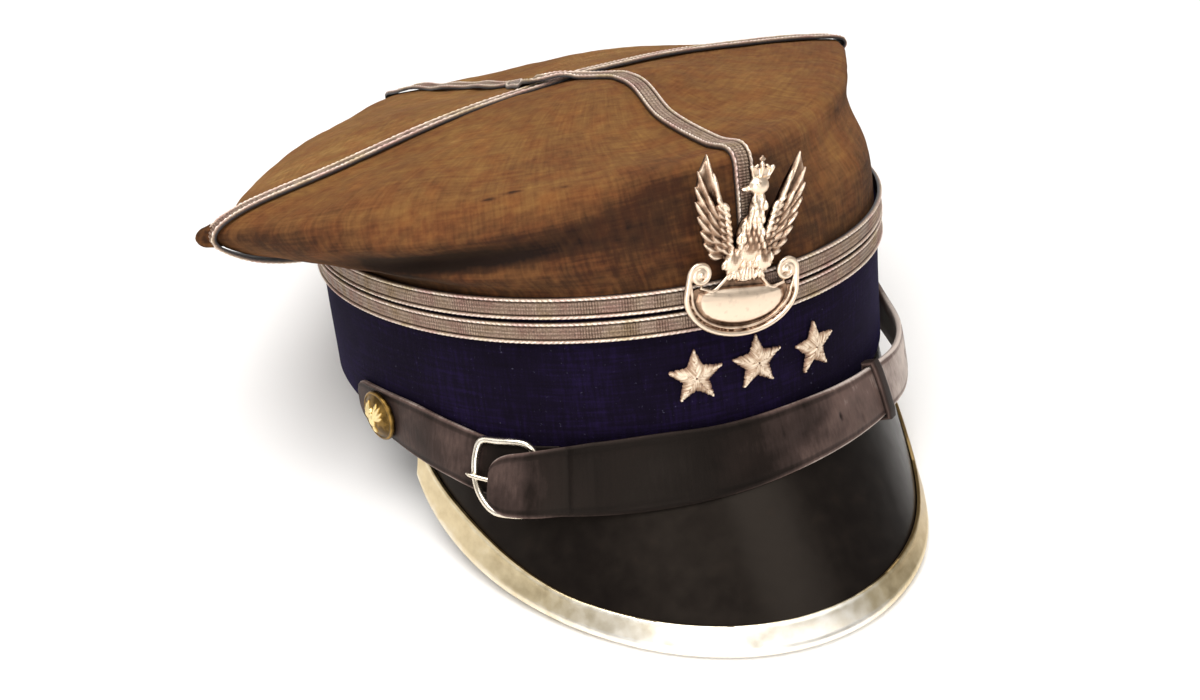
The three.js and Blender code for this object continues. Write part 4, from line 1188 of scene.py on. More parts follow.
def build_strap(name, rows, node, tones, stations, round_to):
    """round_to tells whether the strap's last end is cut round too."""
    angles = strap_angles(rows, stations, round_to)
    near = np.minimum(1, (angles - rows[0][0]) / ROUND_END["degrees"])
    if round_to:
        near = np.minimum(near, (rows[-1][0] - angles) / ROUND_END["degrees"])
    share = (0.5 + 0.5 * np.sqrt(1 - (1 - near) ** 2))[:, None]

    def narrowed(w):
        return 0.5 + (np.array([w], float) - 0.5) * share

    w_out = narrowed(STRAP_EDGES)
    marks = strap_marks(angles, w_out)
    outer = strap_point(rows, angles[:, None], w_out, strap_face(STRAP_EDGES)[None, :] + marks[0])
    lower = strap_point(rows, angles[:, None], narrowed([1, 1]), CUT_EDGE)
    inner = strap_point(rows, angles[:, None], narrowed(INNER_ROWS), 0.0)
    upper = strap_point(rows, angles[:, None], narrowed([0, 0]), CUT_EDGE[::-1])
    rings = np.concatenate([outer, lower, inner, upper], axis=1)
    middle = outer[:, len(STRAP_EDGES) // 2]
    length = np.concatenate([[0], np.linalg.norm(np.diff(middle, axis=0), axis=-1).cumsum()])
    w_all = np.concatenate([STRAP_EDGES, [1, 1], INNER_ROWS, [0, 0]])
    edge = np.minimum(w_all, 1 - w_all)
    leather_tone = 0.24 * np.exp(-((edge / 0.035) ** 2)) - 0.16 * np.exp(-(((edge - CREASE_AT) / 0.03) ** 2))
    cloth = np.stack(np.broadcast_arrays(length[:, None], w_all[None, :] * STRAP_WIDTH, 0.0), -1)
    tone = leather_tone[None, :] + np.interp(angles, *zip(*tones))[:, None]
    tone = tone + np.pad(marks[1], ((0, 0), (0, len(w_all) - len(STRAP_EDGES))))
    swept_piece(name, rings, LEATHER, [node],
                values={"cloth": cloth, "tone": tone}, crease=50)


build_strap("leather_strap_short", SHORT_STRAP, "strap_short", SHORT_STRAP_TONE, 90, False)
build_strap("leather_strap_long", LONG_STRAP, "strap_long", LONG_STRAP_TONE, 700, True)

# %% [markdown]
# Wire is a circle carried along a path. The circle's own directions turn as
# little as they can from one step to the next, so the wire never twists. A
# curve with a bevel would do for plain wire, but the same rings also make the
# tubes of the badge and the stars.

# %% Wire helper
def wire_rings(path, radius, sides=14, closed=False):
    """Circles of points square to a path."""
    path = np.asarray(path, float)
    if closed:
        tangents = unit(np.roll(path, -1, axis=0) - np.roll(path, 1, axis=0))
    else:
        tangents = unit(np.gradient(path, axis=0))
    radius = np.broadcast_to(radius, len(path))
    normal = np.array([0.3, -1, 0.2])
    turns = np.linspace(0, 2 * np.pi, sides, endpoint=False)
    rings = []
    for point, tangent, r in zip(path, tangents, radius):
        normal = unit(normal - tangent * normal.dot(tangent))
        side = np.cross(tangent, normal)
        rings.append(point + r * (np.cos(turns)[:, None] * normal + np.sin(turns)[:, None] * side))
    return np.array(rings)


def closed_curve(corners, count):
    """A smooth closed curve through corners."""
    corners = np.asarray(corners, float)
    wrapped = np.vstack([corners[-2:], corners, corners[:3]])
    share = (2 + np.linspace(0, len(corners), count, endpoint=False)) / (len(wrapped) - 1)
    return smooth_curve(wrapped, share)


print("rings along a straight wire:", wire_rings([(0, 0, 0), (0, 0, 1), (0, 0, 2)], 0.5).shape)

# %% [markdown]
# The buckle is a D of nickelled wire 2.1 mm thick. Its straight bar lies behind
# the short strap's fold and its bow stands in front, so the corners are given
# on the short strap: an angle, a share across it and a height over its inner
# face. The prong is a thinner wire hinged on the bar, and its tip rests on the
# far side of the frame.

# %% Buckle
BAR_DEPTH = 3.3
HINGE_DEPTH = 1.6
WIRE_RADIUS = 1.05
PLATE_RELIEF = 0.6
FRAME_CORNERS = [
    (-42.4, -.02, 2.6), (-45, -.04, BAR_DEPTH), (-47.8, .0, BAR_DEPTH), (-50.4, .05, BAR_DEPTH),
    (-51.2, .28, BAR_DEPTH), (-51.3, .56, BAR_DEPTH), (-50.8, .84, BAR_DEPTH), (-49.4, 1.08, BAR_DEPTH),
    (-47.2, 1.24, BAR_DEPTH), (-44.4, 1.25, 3.0), (-42, 1.22, 2.2), (-40.8, 1.02, HINGE_DEPTH),
    (-40.6, .6, HINGE_DEPTH), (-41, .18, HINGE_DEPTH),
]
# angle and height of the prong's middle line
PRONG = [(-41.8, 2.7), (-44, 3.1), (-47, 3.7), (-49.5, 4.6), (-51.2, 5.2), (-52.2, 5)]
PRONG_ACROSS = 0.7


def build_buckle():
    corners = [strap_point(SHORT_STRAP, angle, w, depth) for angle, w, depth in FRAME_CORNERS]
    path = closed_curve(corners, 160)
    for _ in range(14):
        path = (np.roll(path, 1, axis=0) + 2 * path + np.roll(path, -1, axis=0)) / 4
    rings = wire_rings(path, WIRE_RADIUS, closed=True)
    swept_piece("nickel_buckle", rings, NICKEL, ["buckle_frame"], closed=True,
                values={"relief": np.full(rings.shape[:2], PLATE_RELIEF)})


def build_prong():
    share = np.linspace(0, 1, 40)
    keys = [strap_point(SHORT_STRAP, angle, PRONG_ACROSS, depth) for angle, depth in PRONG]
    radius = np.interp(share, [0, 0.85, 1], [0.75, 0.7, 0.35])
    rings = wire_rings(smooth_curve(keys, share), radius)
    swept_piece("nickel_prong", rings, NICKEL, ["buckle_prong"],
                values={"relief": np.full(rings.shape[:2], PLATE_RELIEF)})


build_buckle()
build_prong()

# %% [markdown]
# The keeper is a short loop of the same leather that holds the long strap's
# layers together. A loop is ten corners round the strap, clear of it by a
# hair. Nine loops side by side make its outer face and nine its inner face,
# and swapping rows and columns turns them into rings across the leather.

# %% Keeper
KEEPER = {"from": 27.6, "to": 30.4, "thick": 1.3, "gap": 0.3, "loops": 9}


def keeper_loop(angle, grow, soften):
    """Ten corners round the strap, grown outwards and with its corners softened."""
    top = strap_point(LONG_STRAP, angle, 0, 0)
    bottom = strap_point(LONG_STRAP, angle, 1, 0)
    edge = (KEEPER["gap"] + grow) / np.linalg.norm(bottom - top)
    low = -KEEPER["gap"] - grow
    high = STRAP_THICK + KEEPER["gap"] + grow
    w = [-edge, 0.06, 0.5, 0.94, 1 + edge, 1 + edge, 0.94, 0.5, 0.06, -edge]
    depth = [low + soften, low, low, low, low + soften,
             high - soften, high, high + 0.15, high, high - soften]
    return np.array([strap_point(LONG_STRAP, angle, a, d) for a, d in zip(w, depth)])


def build_keeper():
    """Rings across the loop's wall, carried round the loop."""
    angles = np.linspace(KEEPER["from"], KEEPER["to"], KEEPER["loops"])
    share = np.linspace(-1, 1, KEEPER["loops"])
    swell = KEEPER["thick"] - 0.5 * share**6
    outer = np.array([keeper_loop(a, g, 0.5) for a, g in zip(angles, swell)])
    inner = np.array([keeper_loop(a, 0.0, 0.1) for a in angles])
    rings = np.concatenate([outer, inner[::-1]], axis=0).transpose(1, 0, 2)
    leather_tone = np.concatenate([0.25 * share**6, np.zeros(KEEPER["loops"])])
    along = np.concatenate([share * 4, share[::-1] * 4])
    cloth = np.stack(np.broadcast_arrays(along[None, :], np.arange(10)[:, None] * 4.0, 0.0), -1)
    swept_piece("leather_keeper", rings, LEATHER, ["strap_keeper"], closed=True,
                values={"cloth": cloth, "tone": np.broadcast_to(leather_tone, rings.shape[:2])}, crease=50)


build_keeper()

# %% [markdown]
# Small solid shapes for relief work: a stretched ball, a leaf with a raised
# rib, a tube and a flat plate. Each returns its points and faces, and a list
# of them is joined into one mesh. The badge, the buttons and the stars are all
# drawn flat with these, and the buttons and stars are then stood on the band.

# %% Relief shapes
def ball(at, size, turn=0.0, rows=10, columns=16):
    """A ball stretched by size and turned in its plane."""
    theta = np.linspace(0, np.pi, rows + 1)[1:-1]
    phi = np.linspace(0, 2 * np.pi, columns, endpoint=False)
    x = np.sin(theta)[:, None] * np.cos(phi)
    y = np.sin(theta)[:, None] * np.sin(phi)
    rings = np.stack(np.broadcast_arrays(x, y, np.cos(theta)[:, None]), -1)
    points = np.vstack([rings.reshape(-1, 3), [[0, 0, 1], [0, 0, -1]]]) * np.array(size)
    faces = ring_faces(len(theta), columns, False)[:-2]
    top, last = len(points) - 2, (len(theta) - 1) * columns
    faces += [[top, (k + 1) % columns, k] for k in range(columns)]
    faces += [[top + 1, last + k, last + (k + 1) % columns] for k in range(columns)]
    c, s = math.cos(turn), math.sin(turn)
    points = points @ np.array([[c, s, 0], [-s, c, 0], [0, 0, 1]]) + np.array(at)
    return points, [face[::-1] for face in faces]


LEAF_ACROSS = np.array([-1, -0.55, -0.16, 0, 0.16, 0.55, 1])
LEAF_PROFILE = np.array([0, 0.62, 0.66, 1, 0.66, 0.62, 0])


def leaf(root, tip, half_width, height, base=0.0, curl=0.0, rows=14):
    """A feather: widest past the middle, pointed at its tip, with a rib along it."""
    root = np.array(root, float)
    along = np.array(tip, float) - root
    length = np.linalg.norm(along)
    side = np.array([-along[1], along[0]]) / length
    t = np.linspace(0, 1, rows)
    width = half_width * np.sin(np.pi * np.clip(t, 0.02, 0.985) ** 1.3) ** 0.6
    bend = curl * np.sin(np.pi * t)
    spine = root + along * t[:, None] + side * bend[:, None]
    xy = spine[:, None] + side * (LEAF_ACROSS[None, :] * width[:, None])[..., None]
    rise = base + height * LEAF_PROFILE[None, :] * np.sqrt(np.clip(width / half_width, 0, 1))[:, None]
    upper = np.concatenate([xy, rise[..., None]], axis=-1)
    lower = np.concatenate([xy[:, ::-1][:, 1:-1], np.full((rows, 5, 1), base - 0.4)], axis=-1)
    rings = np.concatenate([upper, lower], axis=1)
    return rings.reshape(-1, 3), ring_faces(rows, rings.shape[1], False)


def tube(path, radius, sides=8):
    """A wire with closed ends."""
    rings = wire_rings(path, radius, sides)
    return rings.reshape(-1, 3), ring_faces(len(rings), sides, False)


def slab(outline, low, high, chamfer=0.3):
    """A flat plate from an outline, with a narrow chamfer."""
    outline = np.asarray(outline, float)
    inset = outline + unit(outline.mean(0) - outline) * chamfer
    rings = np.array([
        np.column_stack([outline, np.full(len(outline), low)]),
        np.column_stack([outline, np.full(len(outline), high - chamfer)]),
        np.column_stack([inset, np.full(len(outline), high)]),
    ])
    return rings.reshape(-1, 3), ring_faces(3, len(outline), False)


def joined(shapes):
    """One list of points and faces, each shape turned right side out."""
    points, faces = [], []
    start = 0
    for shape_points, shape_faces in shapes:
        shape_points = np.asarray(shape_points, float)
        if volume_of(shape_points, shape_faces) < 0:
            shape_faces = [f[::-1] for f in shape_faces]
        points.append(shape_points)
        faces += [[k + start for k in f] for f in shape_faces]
        start += len(shape_points)
    return np.vstack(points), faces


def on_band(points, angle, out, height):
    """Points drawn flat, x right, y up and z outwards, stood on the band at an angle."""
    outward = oval_normal(angle)
    right = np.array([-outward[1], outward[0], 0.0])
    foot = oval_point(angle, out, height)
    return foot + points[:, :1] * right + points[:, 1:2] * np.array([0, 0, 1.0]) + points[:, 2:] * outward


print("a feather has", len(leaf((0, 0), (0, 5), 1, 1)[0]), "points")

# %% [markdown]
# A casting has no gaps between its parts: metal flows them together. So the
# loose shapes of the badge are fused by a voxel remesh, fine enough to keep
# its feathers, and one light smoothing rounds its edges as molten metal does.
# Booleans would join them too, but they leave sharp creases where shapes meet.

# %% Fusing a casting
def fused(points, faces, voxel):
    """The outer skin of overlapping shapes, in the same units."""
    mesh = bpy.data.meshes.new("casting")
    mesh.from_pydata(np.asarray(points).tolist(), [], faces)
    body = bpy.data.objects.new("casting", mesh)
    bpy.context.scene.collection.objects.link(body)
    remesh = body.modifiers.new("skin", "REMESH")
    remesh.mode = "VOXEL"
    remesh.voxel_size = voxel
    smooth = body.modifiers.new("flow", "SMOOTH")
    smooth.factor = 0.4
    smooth.iterations = 1
    result = body.evaluated_get(bpy.context.evaluated_depsgraph_get()).to_mesh()
    skin = np.zeros(len(result.vertices) * 3)
    result.vertices.foreach_get("co", skin)
    quads = [list(polygon.vertices) for polygon in result.polygons]
    body.to_mesh_clear()
    bpy.data.objects.remove(body)
    bpy.data.meshes.remove(mesh)
    return skin.reshape(-1, 3), quads


print("a fused ball has", len(fused(*ball((0, 0, 0), (2, 2, 2)), 0.5)[1]), "faces")

# %% [markdown]
# The badge is a crowned eagle with raised wings on a crescent shield, drawn in
# its own plane in millimetres, x to the viewer's right and y up. Each wing is a
# plate under a fan of long feathers, with shorter ones over them and two rows
# of small ones along its front edge. The left wing mirrors the right one.

# %% Wings
WING_PLATE = [
    (3, 11), (3.4, 17), (5.8, 19.4), (6.6, 23), (8.6, 27), (10.2, 31), (12.4, 35.4), (14.6, 39),
    (16.4, 34.4), (16.6, 29.6), (15.6, 25), (14.4, 20.8), (13.2, 16.6), (11.6, 13.2), (9, 11),
]
WING_FEATHERS = [
    # root x, y, tip x, y, half width, height
    (8.6, 24.5, 14.6, 39.6, 1.25, 1.0), (9.3, 22.5, 16.8, 35.2, 1.3, 1.0),
    (9.2, 20.5, 17.2, 31.0, 1.3, 1.0), (8.8, 18.5, 16.8, 27.0, 1.3, 1.0),
    (8.3, 16.5, 15.8, 23.0, 1.3, 1.0), (7.6, 14.6, 14.6, 19.0, 1.25, 1.0),
    (7.0, 12.8, 13.2, 15.4, 1.2, 0.9), (6.6, 11.4, 11.4, 12.4, 1.1, 0.8),
]
WING_COVERTS = [
    (8.4, 24.0, 12.2, 34.6, 1.1, 0.9), (7.6, 22.5, 10.9, 30.8, 1.1, 0.9), (8.6, 21.0, 13.6, 29.0, 1.1, 0.9),
    (7.0, 20.5, 9.6, 27.4, 1.1, 0.9), (8.0, 18.6, 12.8, 24.6, 1.1, 0.9), (7.2, 16.6, 12.2, 21.0, 1.1, 0.9),
    (6.4, 14.6, 11.2, 17.8, 1.0, 0.9), (5.8, 13.0, 9.8, 15.0, 1.0, 0.8),
]
# start, end and count of each row of small feathers
WING_SCALES = [((4.6, 12.6), (7.4, 25.0), 8), ((6.2, 12.4), (9.4, 26.2), 8)]


def wing(side):
    """One wing: side is 1 for the viewer's right and -1 for the left."""
    shapes = [slab([(side * x, y) for x, y in WING_PLATE], 0.2, 1.3)]
    for x, y, tip_x, tip_y, width, height in WING_FEATHERS:
        root, tip = (side * x, y), (side * tip_x, tip_y)
        shapes.append(leaf(root, tip, width * 0.8, height * 1.4, 0.9, -0.5 * side))
    for x, y, tip_x, tip_y, width, height in WING_COVERTS:
        root, tip = (side * x, y), (side * tip_x, tip_y)
        shapes.append(leaf(root, tip, width * 0.85, height * 1.2, 1.6, -0.3 * side))
    for row, (start, end, count) in enumerate(WING_SCALES):
        base = 2.1 - 0.2 * row
        for x, y in np.array(start) + (np.array(end) - start) * np.linspace(0, 1, count)[:, None]:
            root, tip = (side * (x - 0.9), y - 0.5), (side * (x + 1.5), y + 1.6)
            shapes.append(leaf(root, tip, 0.8, 1.1, base, rows=8))
    return shapes


print("a wing has", len(wing(1)), "shapes")

# %% [markdown]
# The body is a handful of balls under rows of small round feathers, from the
# neck down to the tail. The eagle looks to the viewer's left, and its claws
# grip the shield.

# %% Eagle
BREAST_ROWS = [
    # y, left, right, count, lift
    (27.6, 0.8, 3.0, 2, 3.7), (25.8, 0.4, 3.4, 3, 3.8), (24.0, 0.2, 3.2, 3, 3.8),
    (22.2, -0.8, 3.0, 4, 3.7), (20.4, -1.8, 3.0, 4, 3.8), (18.6, -2.6, 3.2, 5, 3.9),
    (16.8, -3.0, 3.6, 5, 4.0), (15.0, -3.0, 3.8, 5, 3.8), (13.2, -4.4, 5.6, 7, 3.0),
    (11.4, -5.6, 7.0, 8, 2.7), (9.6, -5.8, 7.4, 8, 2.6),
]
BODY_X = 0.8


def plumage(rows):
    """Rows of small round feathers."""
    shapes = []
    for row, (y, left, right, count, lift) in enumerate(rows):
        step = (right - left) / max(count - 1, 1)
        for x in np.linspace(left, right, count) + (row % 2 - 0.5) * step * 0.5:
            lean_x = 0.12 * (x - (left + right) / 2)
            shapes.append(leaf((x, y + 1.3), (x + lean_x, y - 1.5), 0.85, 1.1, lift - 0.7, rows=8))
    return shapes


def leg(side):
    """A feathered thigh with three toes, and three feathers beside it."""
    shapes = [ball((side * 4.6 + BODY_X, 10.6, 1.5), (2.9, 3.6, 1.6), 0.3 * side)]
    for toe in (-1.6, 0, 1.6):
        tip = (side * 4.0 + BODY_X + toe, 5.0)
        shapes.append(leaf((side * 3.6 + BODY_X, 8.6), tip, 0.7, 1.3, 1.6))
    for k in range(3):
        tip = (side * (8.2 - k) + BODY_X, 8.8 - 1.1 * k)
        shapes.append(leaf((side * 5.0 + BODY_X, 11.4 - k), tip, 0.7, 1.2, 1.2))
    return shapes


def eagle():
    """Both wings, the feathered body with its head, both legs and the tail."""
    breast = ball((0.4, 16.4, 1.7), (4.4, 6.8, 2.2))
    neck = ball((1.8, 24.6, 1.9), (2.5, 5.4, 1.9), -0.12)
    head = ball((1.6, 30.9, 2.2), (3.1, 2.6, 2.0))
    eye = ball((0.5, 31.6, 4.0), (0.55, 0.55, 0.5), rows=6, columns=8)
    beak = leaf((0.4, 31.4), (-3.6, 29.8), 1.1, 1.6, 1.6, 0.6)
    tail = [leaf((BODY_X + 0.5 * k, 11), (BODY_X + 1.3 * k, 4.4), 0.8, 1.2, 1.3) for k in range(-2, 3)]
    body = [breast, *plumage(BREAST_ROWS), neck, head, eye, beak]
    return wing(1) + wing(-1) + body + leg(-1) + leg(1) + tail


print("the eagle has", len(eagle()), "shapes")

# %% [markdown]
# The crown is small enough to need no more than a band, three arches, pearls
# and a cross, but its outline shows against the wool, so each is a real shape.

# %% The eagle's crown
CROWN_X = 2.0
CROWN_BAND = [(-2.3, 32.9), (-3.3, 35.6), (3.3, 35.6), (2.3, 32.9)]


def small_crown():
    """A closed crown: a band, three arches, pearls and a cross."""
    shapes = [slab([(CROWN_X + x, y) for x, y in CROWN_BAND], 0.6, 2.4)]
    shapes.append(tube([(CROWN_X - 2.5, 33.1, 2.3), (CROWN_X, 32.8, 2.9), (CROWN_X + 2.5, 33.1, 2.3)], 0.5))
    for lean_x in (-2.4, 0, 2.4):
        low, high = CROWN_X + lean_x, CROWN_X + lean_x * 1.35
        arch = [(low, 33.4, 2.3), (high, 35.2, 2.8), (CROWN_X + lean_x * 0.5, 36.6, 2.5)]
        shapes.append(tube(arch, 0.42))
        shapes.append(ball((high, 35.9, 2.6), (0.7, 0.7, 0.7), rows=6, columns=8))
    shapes.append(ball((CROWN_X, 36.7, 2.4), (0.8, 0.8, 0.8), rows=6, columns=8))
    shapes.append(tube([(CROWN_X, 36.8, 2.2), (CROWN_X, 39.0, 2.2)], 0.42))
    shapes.append(tube([(CROWN_X - 1.0, 38.0, 2.2), (CROWN_X + 1.0, 38.0, 2.2)], 0.42))
    return shapes


print("the crown has", len(small_crown()), "shapes")

# %% [markdown]
# The shield is a crescent. Its double border is two wires that curl into a
# scroll at each end, and its field is a smooth swelling, polished bright: half
# a ball whose reach is round below and nearly square above.

# %% Shield
SHIELD = {"centre_y": 1.5, "half_width": 17.4, "half_height": 12.0}
SCROLL = {"x": 13.6, "y": 7.0, "outer": 3.3, "inner": 0.9, "turns": 1.6}
# the plate's upper edge from right to left, and the wire along it from left to right
SHIELD_TOP = [
    (13.4, 3.4), (9.2, 2.2), (6.4, 4.4), (4.6, 6.2), (0, 4.6), (-4.6, 6.2), (-6.4, 4.4), (-9.2, 2.2),
    (-13.4, 3.4),
]
EDGING = [
    (-13.4, 3.4), (-9.2, 2.4), (-6.4, 4.6), (-4.4, 6.2), (0, 4.8), (4.4, 6.2), (6.4, 4.6), (9.2, 2.4),
    (13.4, 3.4),
]
FIELD = {"centre_y": -0.5, "half_width": 14.1, "below": 7.2, "above": 3.5, "base": 1.0, "rise": 1.7}


def shield_arc(inset, count=36):
    """The lower half of the shield's oval."""
    a = np.radians(np.linspace(180, 360, count))
    x = (SHIELD["half_width"] - inset) * np.cos(a)
    y = SHIELD["centre_y"] + (SHIELD["half_height"] - inset) * np.sin(a)
    return np.column_stack([x, y])


def scroll_path(side, count=34):
    """A spiral at one end of the border."""
    share = np.linspace(0, 1, count)
    a = np.radians(180 - 360 * SCROLL["turns"] * share)
    radius = SCROLL["outer"] + (SCROLL["inner"] - SCROLL["outer"]) * share
    return np.column_stack([side * (SCROLL["x"] - radius * np.cos(a)), SCROLL["y"] + radius * np.sin(a)])


def border_path(inset, height):
    """Scroll, arc and scroll."""
    arc = shield_arc(inset)
    path = np.vstack([scroll_path(-1)[::-1], arc, scroll_path(1)])
    return np.column_stack([path, np.full(len(path), height)])


def field_reach(x, y):
    """How far the field goes in a direction: round below, nearly square above."""
    length = np.maximum(np.hypot(x, y), 1e-9)
    power = np.where(y < 0, 2.0, 3.5)
    deep = np.where(y < 0, FIELD["below"], FIELD["above"])
    wide = np.maximum(abs(x) / length, 1e-6) / FIELD["half_width"]
    tall = np.maximum(abs(y) / length, 1e-6) / deep
    return (wide**power + tall**power) ** (-1 / power)


def shield_field():
    """A ball flattened and stretched to fill the field."""
    points, faces = ball((0, 0, 0), (1, 1, 1), rows=16, columns=40)
    reach = field_reach(points[:, 0], points[:, 1])
    dome = np.sign(points[:, 2]) * np.sqrt(np.clip(1 - np.hypot(points[:, 0], points[:, 1]) ** 2, 0, 1))
    x, y = points[:, 0] * reach, FIELD["centre_y"] + points[:, 1] * reach
    return np.column_stack([x, y, FIELD["base"] + FIELD["rise"] * dome]), faces


def shield():
    """The plate, its swollen field, two border wires, the scrolls' eyes and the upper edging."""
    shapes = [slab(np.vstack([shield_arc(0.2), SHIELD_TOP]), 0.1, 1.1), shield_field()]
    shapes.append(tube(border_path(0.0, 1.6), 0.8))
    shapes.append(tube(border_path(1.75, 1.5)[4:-4], 0.5))
    for side in (-1, 1):
        shapes.append(ball((side * SCROLL["x"], SCROLL["y"], 1.4), (1.2, 1.2, 1.5), rows=8, columns=12))
    edging = smooth_curve(EDGING, np.linspace(0, 1, 40))
    shapes.append(tube(np.column_stack([edging, np.full(40, 1.5)]), 0.5))
    return shapes


print("the shield has", len(shield()), "shapes")

# %% [markdown]
# Silvered metal tarnishes everywhere but where it is rubbed. So the relief
# that the material reads is how far a point stands above the mean height round
# it, found on a coarse grid of cells. The field is polished evenly. The badge
# then leans a little and stands clear of the band and the lace.

# %% Badge
BADGE = {"x": -6.0, "z": 44.8, "back": 105.5, "turn": -10.0, "voxel": 0.24}


def stands_above(points, cell=0.5, reach=2):
    """How far each point stands above the mean height of its surroundings."""
    front = points[:, 2] > 0.3
    low = points[:, :2].min(0)
    place = ((points[:, :2] - low) / cell).astype(int) + reach
    shape = tuple(place.max(0) + 1 + reach)
    total, number = np.zeros(shape), np.zeros(shape)
    np.add.at(total, tuple(place[front].T), points[front, 2])
    np.add.at(number, tuple(place[front].T), 1.0)
    spread_total, spread_number = np.zeros(shape), np.zeros(shape)
    for dx in range(-reach, reach + 1):
        for dy in range(-reach, reach + 1):
            spread_total += np.roll(total, (dx, dy), (0, 1))
            spread_number += np.roll(number, (dx, dy), (0, 1))
    mean = spread_total / np.maximum(spread_number, 1)
    return points[:, 2] - mean[tuple(place.T)]


def build_badge():
    points, faces = fused(*joined(shield() + eagle() + small_crown()), BADGE["voxel"])
    relief = np.clip(0.5 + 0.75 * stands_above(points), 0, 1)
    from_centre = points[:, :2] - (0, FIELD["centre_y"])
    share = np.hypot(*from_centre.T) / field_reach(*from_centre.T)
    polished = smoothstep(0.98, 0.88, share) * smoothstep(3.4, 2.9, points[:, 2])
    relief = np.maximum(relief, 0.95 * polished * smoothstep(1.4, 1.8, points[:, 2]))
    turn = math.radians(BADGE["turn"])
    c, s = math.cos(turn), math.sin(turn)
    x = c * points[:, 0] - s * points[:, 1]
    y = s * points[:, 0] + c * points[:, 1]
    upright = np.column_stack([BADGE["x"] + x, -BADGE["back"] - points[:, 2], BADGE["z"] + y])
    make_piece("cast_badge", upright, faces, SILVER, ["badge"],
               {"relief": relief}, crease=80)


build_badge()

# %% [markdown]
# The side buttons are stamped from gilt brass: a shallow dome with a rolled
# edge and a small spread eagle in low relief. The dome is turned, and the
# eagle is a handful of leaves and balls laid on it and fused to it.

# %% Side buttons
BUTTON = {"radius": 8.0, "angle": 75.0, "height": 3.4, "dome": 2.2, "edge": 1.6, "voxel": 0.18,
          "out": 0.5 + STRAP_THICK + 0.3}
# radius and height along the turned profile, from the back over the rolled edge to the middle
BUTTON_PROFILE = [
    (0.6, 0.2), (7.2, 0.2), (7.9, 0.6), (8.0, 1.2), (7.8, 1.8), (7.3, 2.1), (6.9, 1.8), (6.6, 2.0),
    (5, 2.9), (3.2, 3.5), (1.4, 3.75), (0.3, 3.8),
]
BUTTON_WINGS = [(2.2, 5.2), (3.6, 4.2), (4.6, 2.6), (4.6, 0.8)]


def dome_height(x, y):
    """Height of the plain dome."""
    r = np.hypot(x, y) / BUTTON["radius"]
    return BUTTON["edge"] + BUTTON["dome"] * np.clip(1 - r * r, 0, 1)


def button_shapes():
    turns = np.linspace(0, 2 * np.pi, 56, endpoint=False)
    rings = np.array([[(r * math.cos(a), r * math.sin(a), z) for a in turns] for r, z in BUTTON_PROFILE])
    shapes = [(rings.reshape(-1, 3), ring_faces(len(rings), len(turns), False))]
    marks = [leaf((side * 0.8, -0.6), (side * x, y), 0.75, 0.8, 0) for side in (-1, 1)
             for x, y in BUTTON_WINGS]
    marks += [ball((0, -0.6, 0.2), (1.3, 2.4, 0.9)), ball((-0.2, 2.6, 0.3), (0.9, 0.9, 0.8)),
              leaf((0, -2), (0, -5.2), 1.3, 0.8, 0), leaf((-0.2, 2.8), (-1.7, 2.5), 0.45, 0.7, 0.1)]
    for points, faces in marks:
        points = np.array(points)
        points[:, 2] += dome_height(points[:, 0], points[:, 1])
        shapes.append((points, faces))
    return shapes


def build_button(name, side, node):
    points, faces = fused(*joined(button_shapes()), BUTTON["voxel"])
    low = dome_height(points[:, 0], points[:, 1])
    relief = smoothstep(-0.1, 0.6, points[:, 2] - low) * 0.8 + 0.15
    placed = on_band(points, side * BUTTON["angle"], BUTTON["out"], BUTTON["height"])
    make_piece(name, placed, faces, GILT, [node], {"relief": relief}, crease=80)


build_button("gilt_button_right", -1, "button_right")
build_button("gilt_button_left", 1, "button_left")

# %% [markdown]
# Each star is worked in satin stitch over a raised core: short purls lie side
# by side from the ridge of each ray down to its edge. A ray has two flanks, so
# a star has ten fields of thread, and each thread is a bent tube. Lengths and
# heights vary a little, with a fixed seed, as handwork does. The purls are
# drawn 0.7 mm thick, coarser than real ones. The three stars follow the band
# and the third sits a little lower.

# %% Embroidered stars
STAR = {"radius": 8.2, "notch": 0.46, "peak": 1.5, "out": 0.3}
# angle round the band and height of each star
STAR_PLACES = [(-12.2, 22.5), (-0.3, 22.8), (13.0, 20.9)]
TIPS_AND_NOTCHES = 10
STITCHES = 10
random_stitch = np.random.default_rng(7)


def star_outline():
    """Tips and notches in turn, from the top tip round."""
    number = np.arange(TIPS_AND_NOTCHES)
    angles = np.radians(90 + 36 * number)
    reach = STAR["radius"] * np.where(number % 2 == 0, 1, STAR["notch"])
    return np.column_stack([np.cos(angles), np.sin(angles)]) * reach[:, None]


def star_core(outline):
    """The padding under the thread."""
    core = outline * 0.93
    rings = np.array([
        np.column_stack([core, np.zeros(len(core))]),
        np.column_stack([core, np.full(len(core), 0.3)]),
        np.column_stack([core * 0.05, np.full(len(core), STAR["peak"] - 0.3)]),
    ])
    return rings.reshape(-1, 3), ring_faces(3, len(core), False)


def stitch(tip, notch, share):
    """One purl from the ridge of a ray to its edge, at a share of the way to the tip."""
    ridge = tip * share * 0.96
    edge = notch + (tip * 0.97 - notch) * share**0.9
    edge = edge * (1 + random_stitch.uniform(-0.03, 0.05))
    top = STAR["peak"] * (1 - 0.5 * share) + random_stitch.uniform(-0.22, 0.22)
    bend = np.append(ridge * 0.5 + edge * 0.5, top * 0.8 + 0.15)
    path = smooth_curve([np.append(ridge, top), bend, np.append(edge, 0.2)], np.linspace(0, 1, 6))
    return tube(path, random_stitch.uniform(0.3, 0.42), 6)


def star_shapes():
    outline = star_outline()
    shapes = [star_core(outline)]
    for k in range(0, TIPS_AND_NOTCHES, 2):
        for notch in (outline[k - 1], outline[(k + 1) % TIPS_AND_NOTCHES]):
            shapes += [stitch(outline[k], notch, (n + 0.5) / STITCHES) for n in range(STITCHES)]
    return shapes


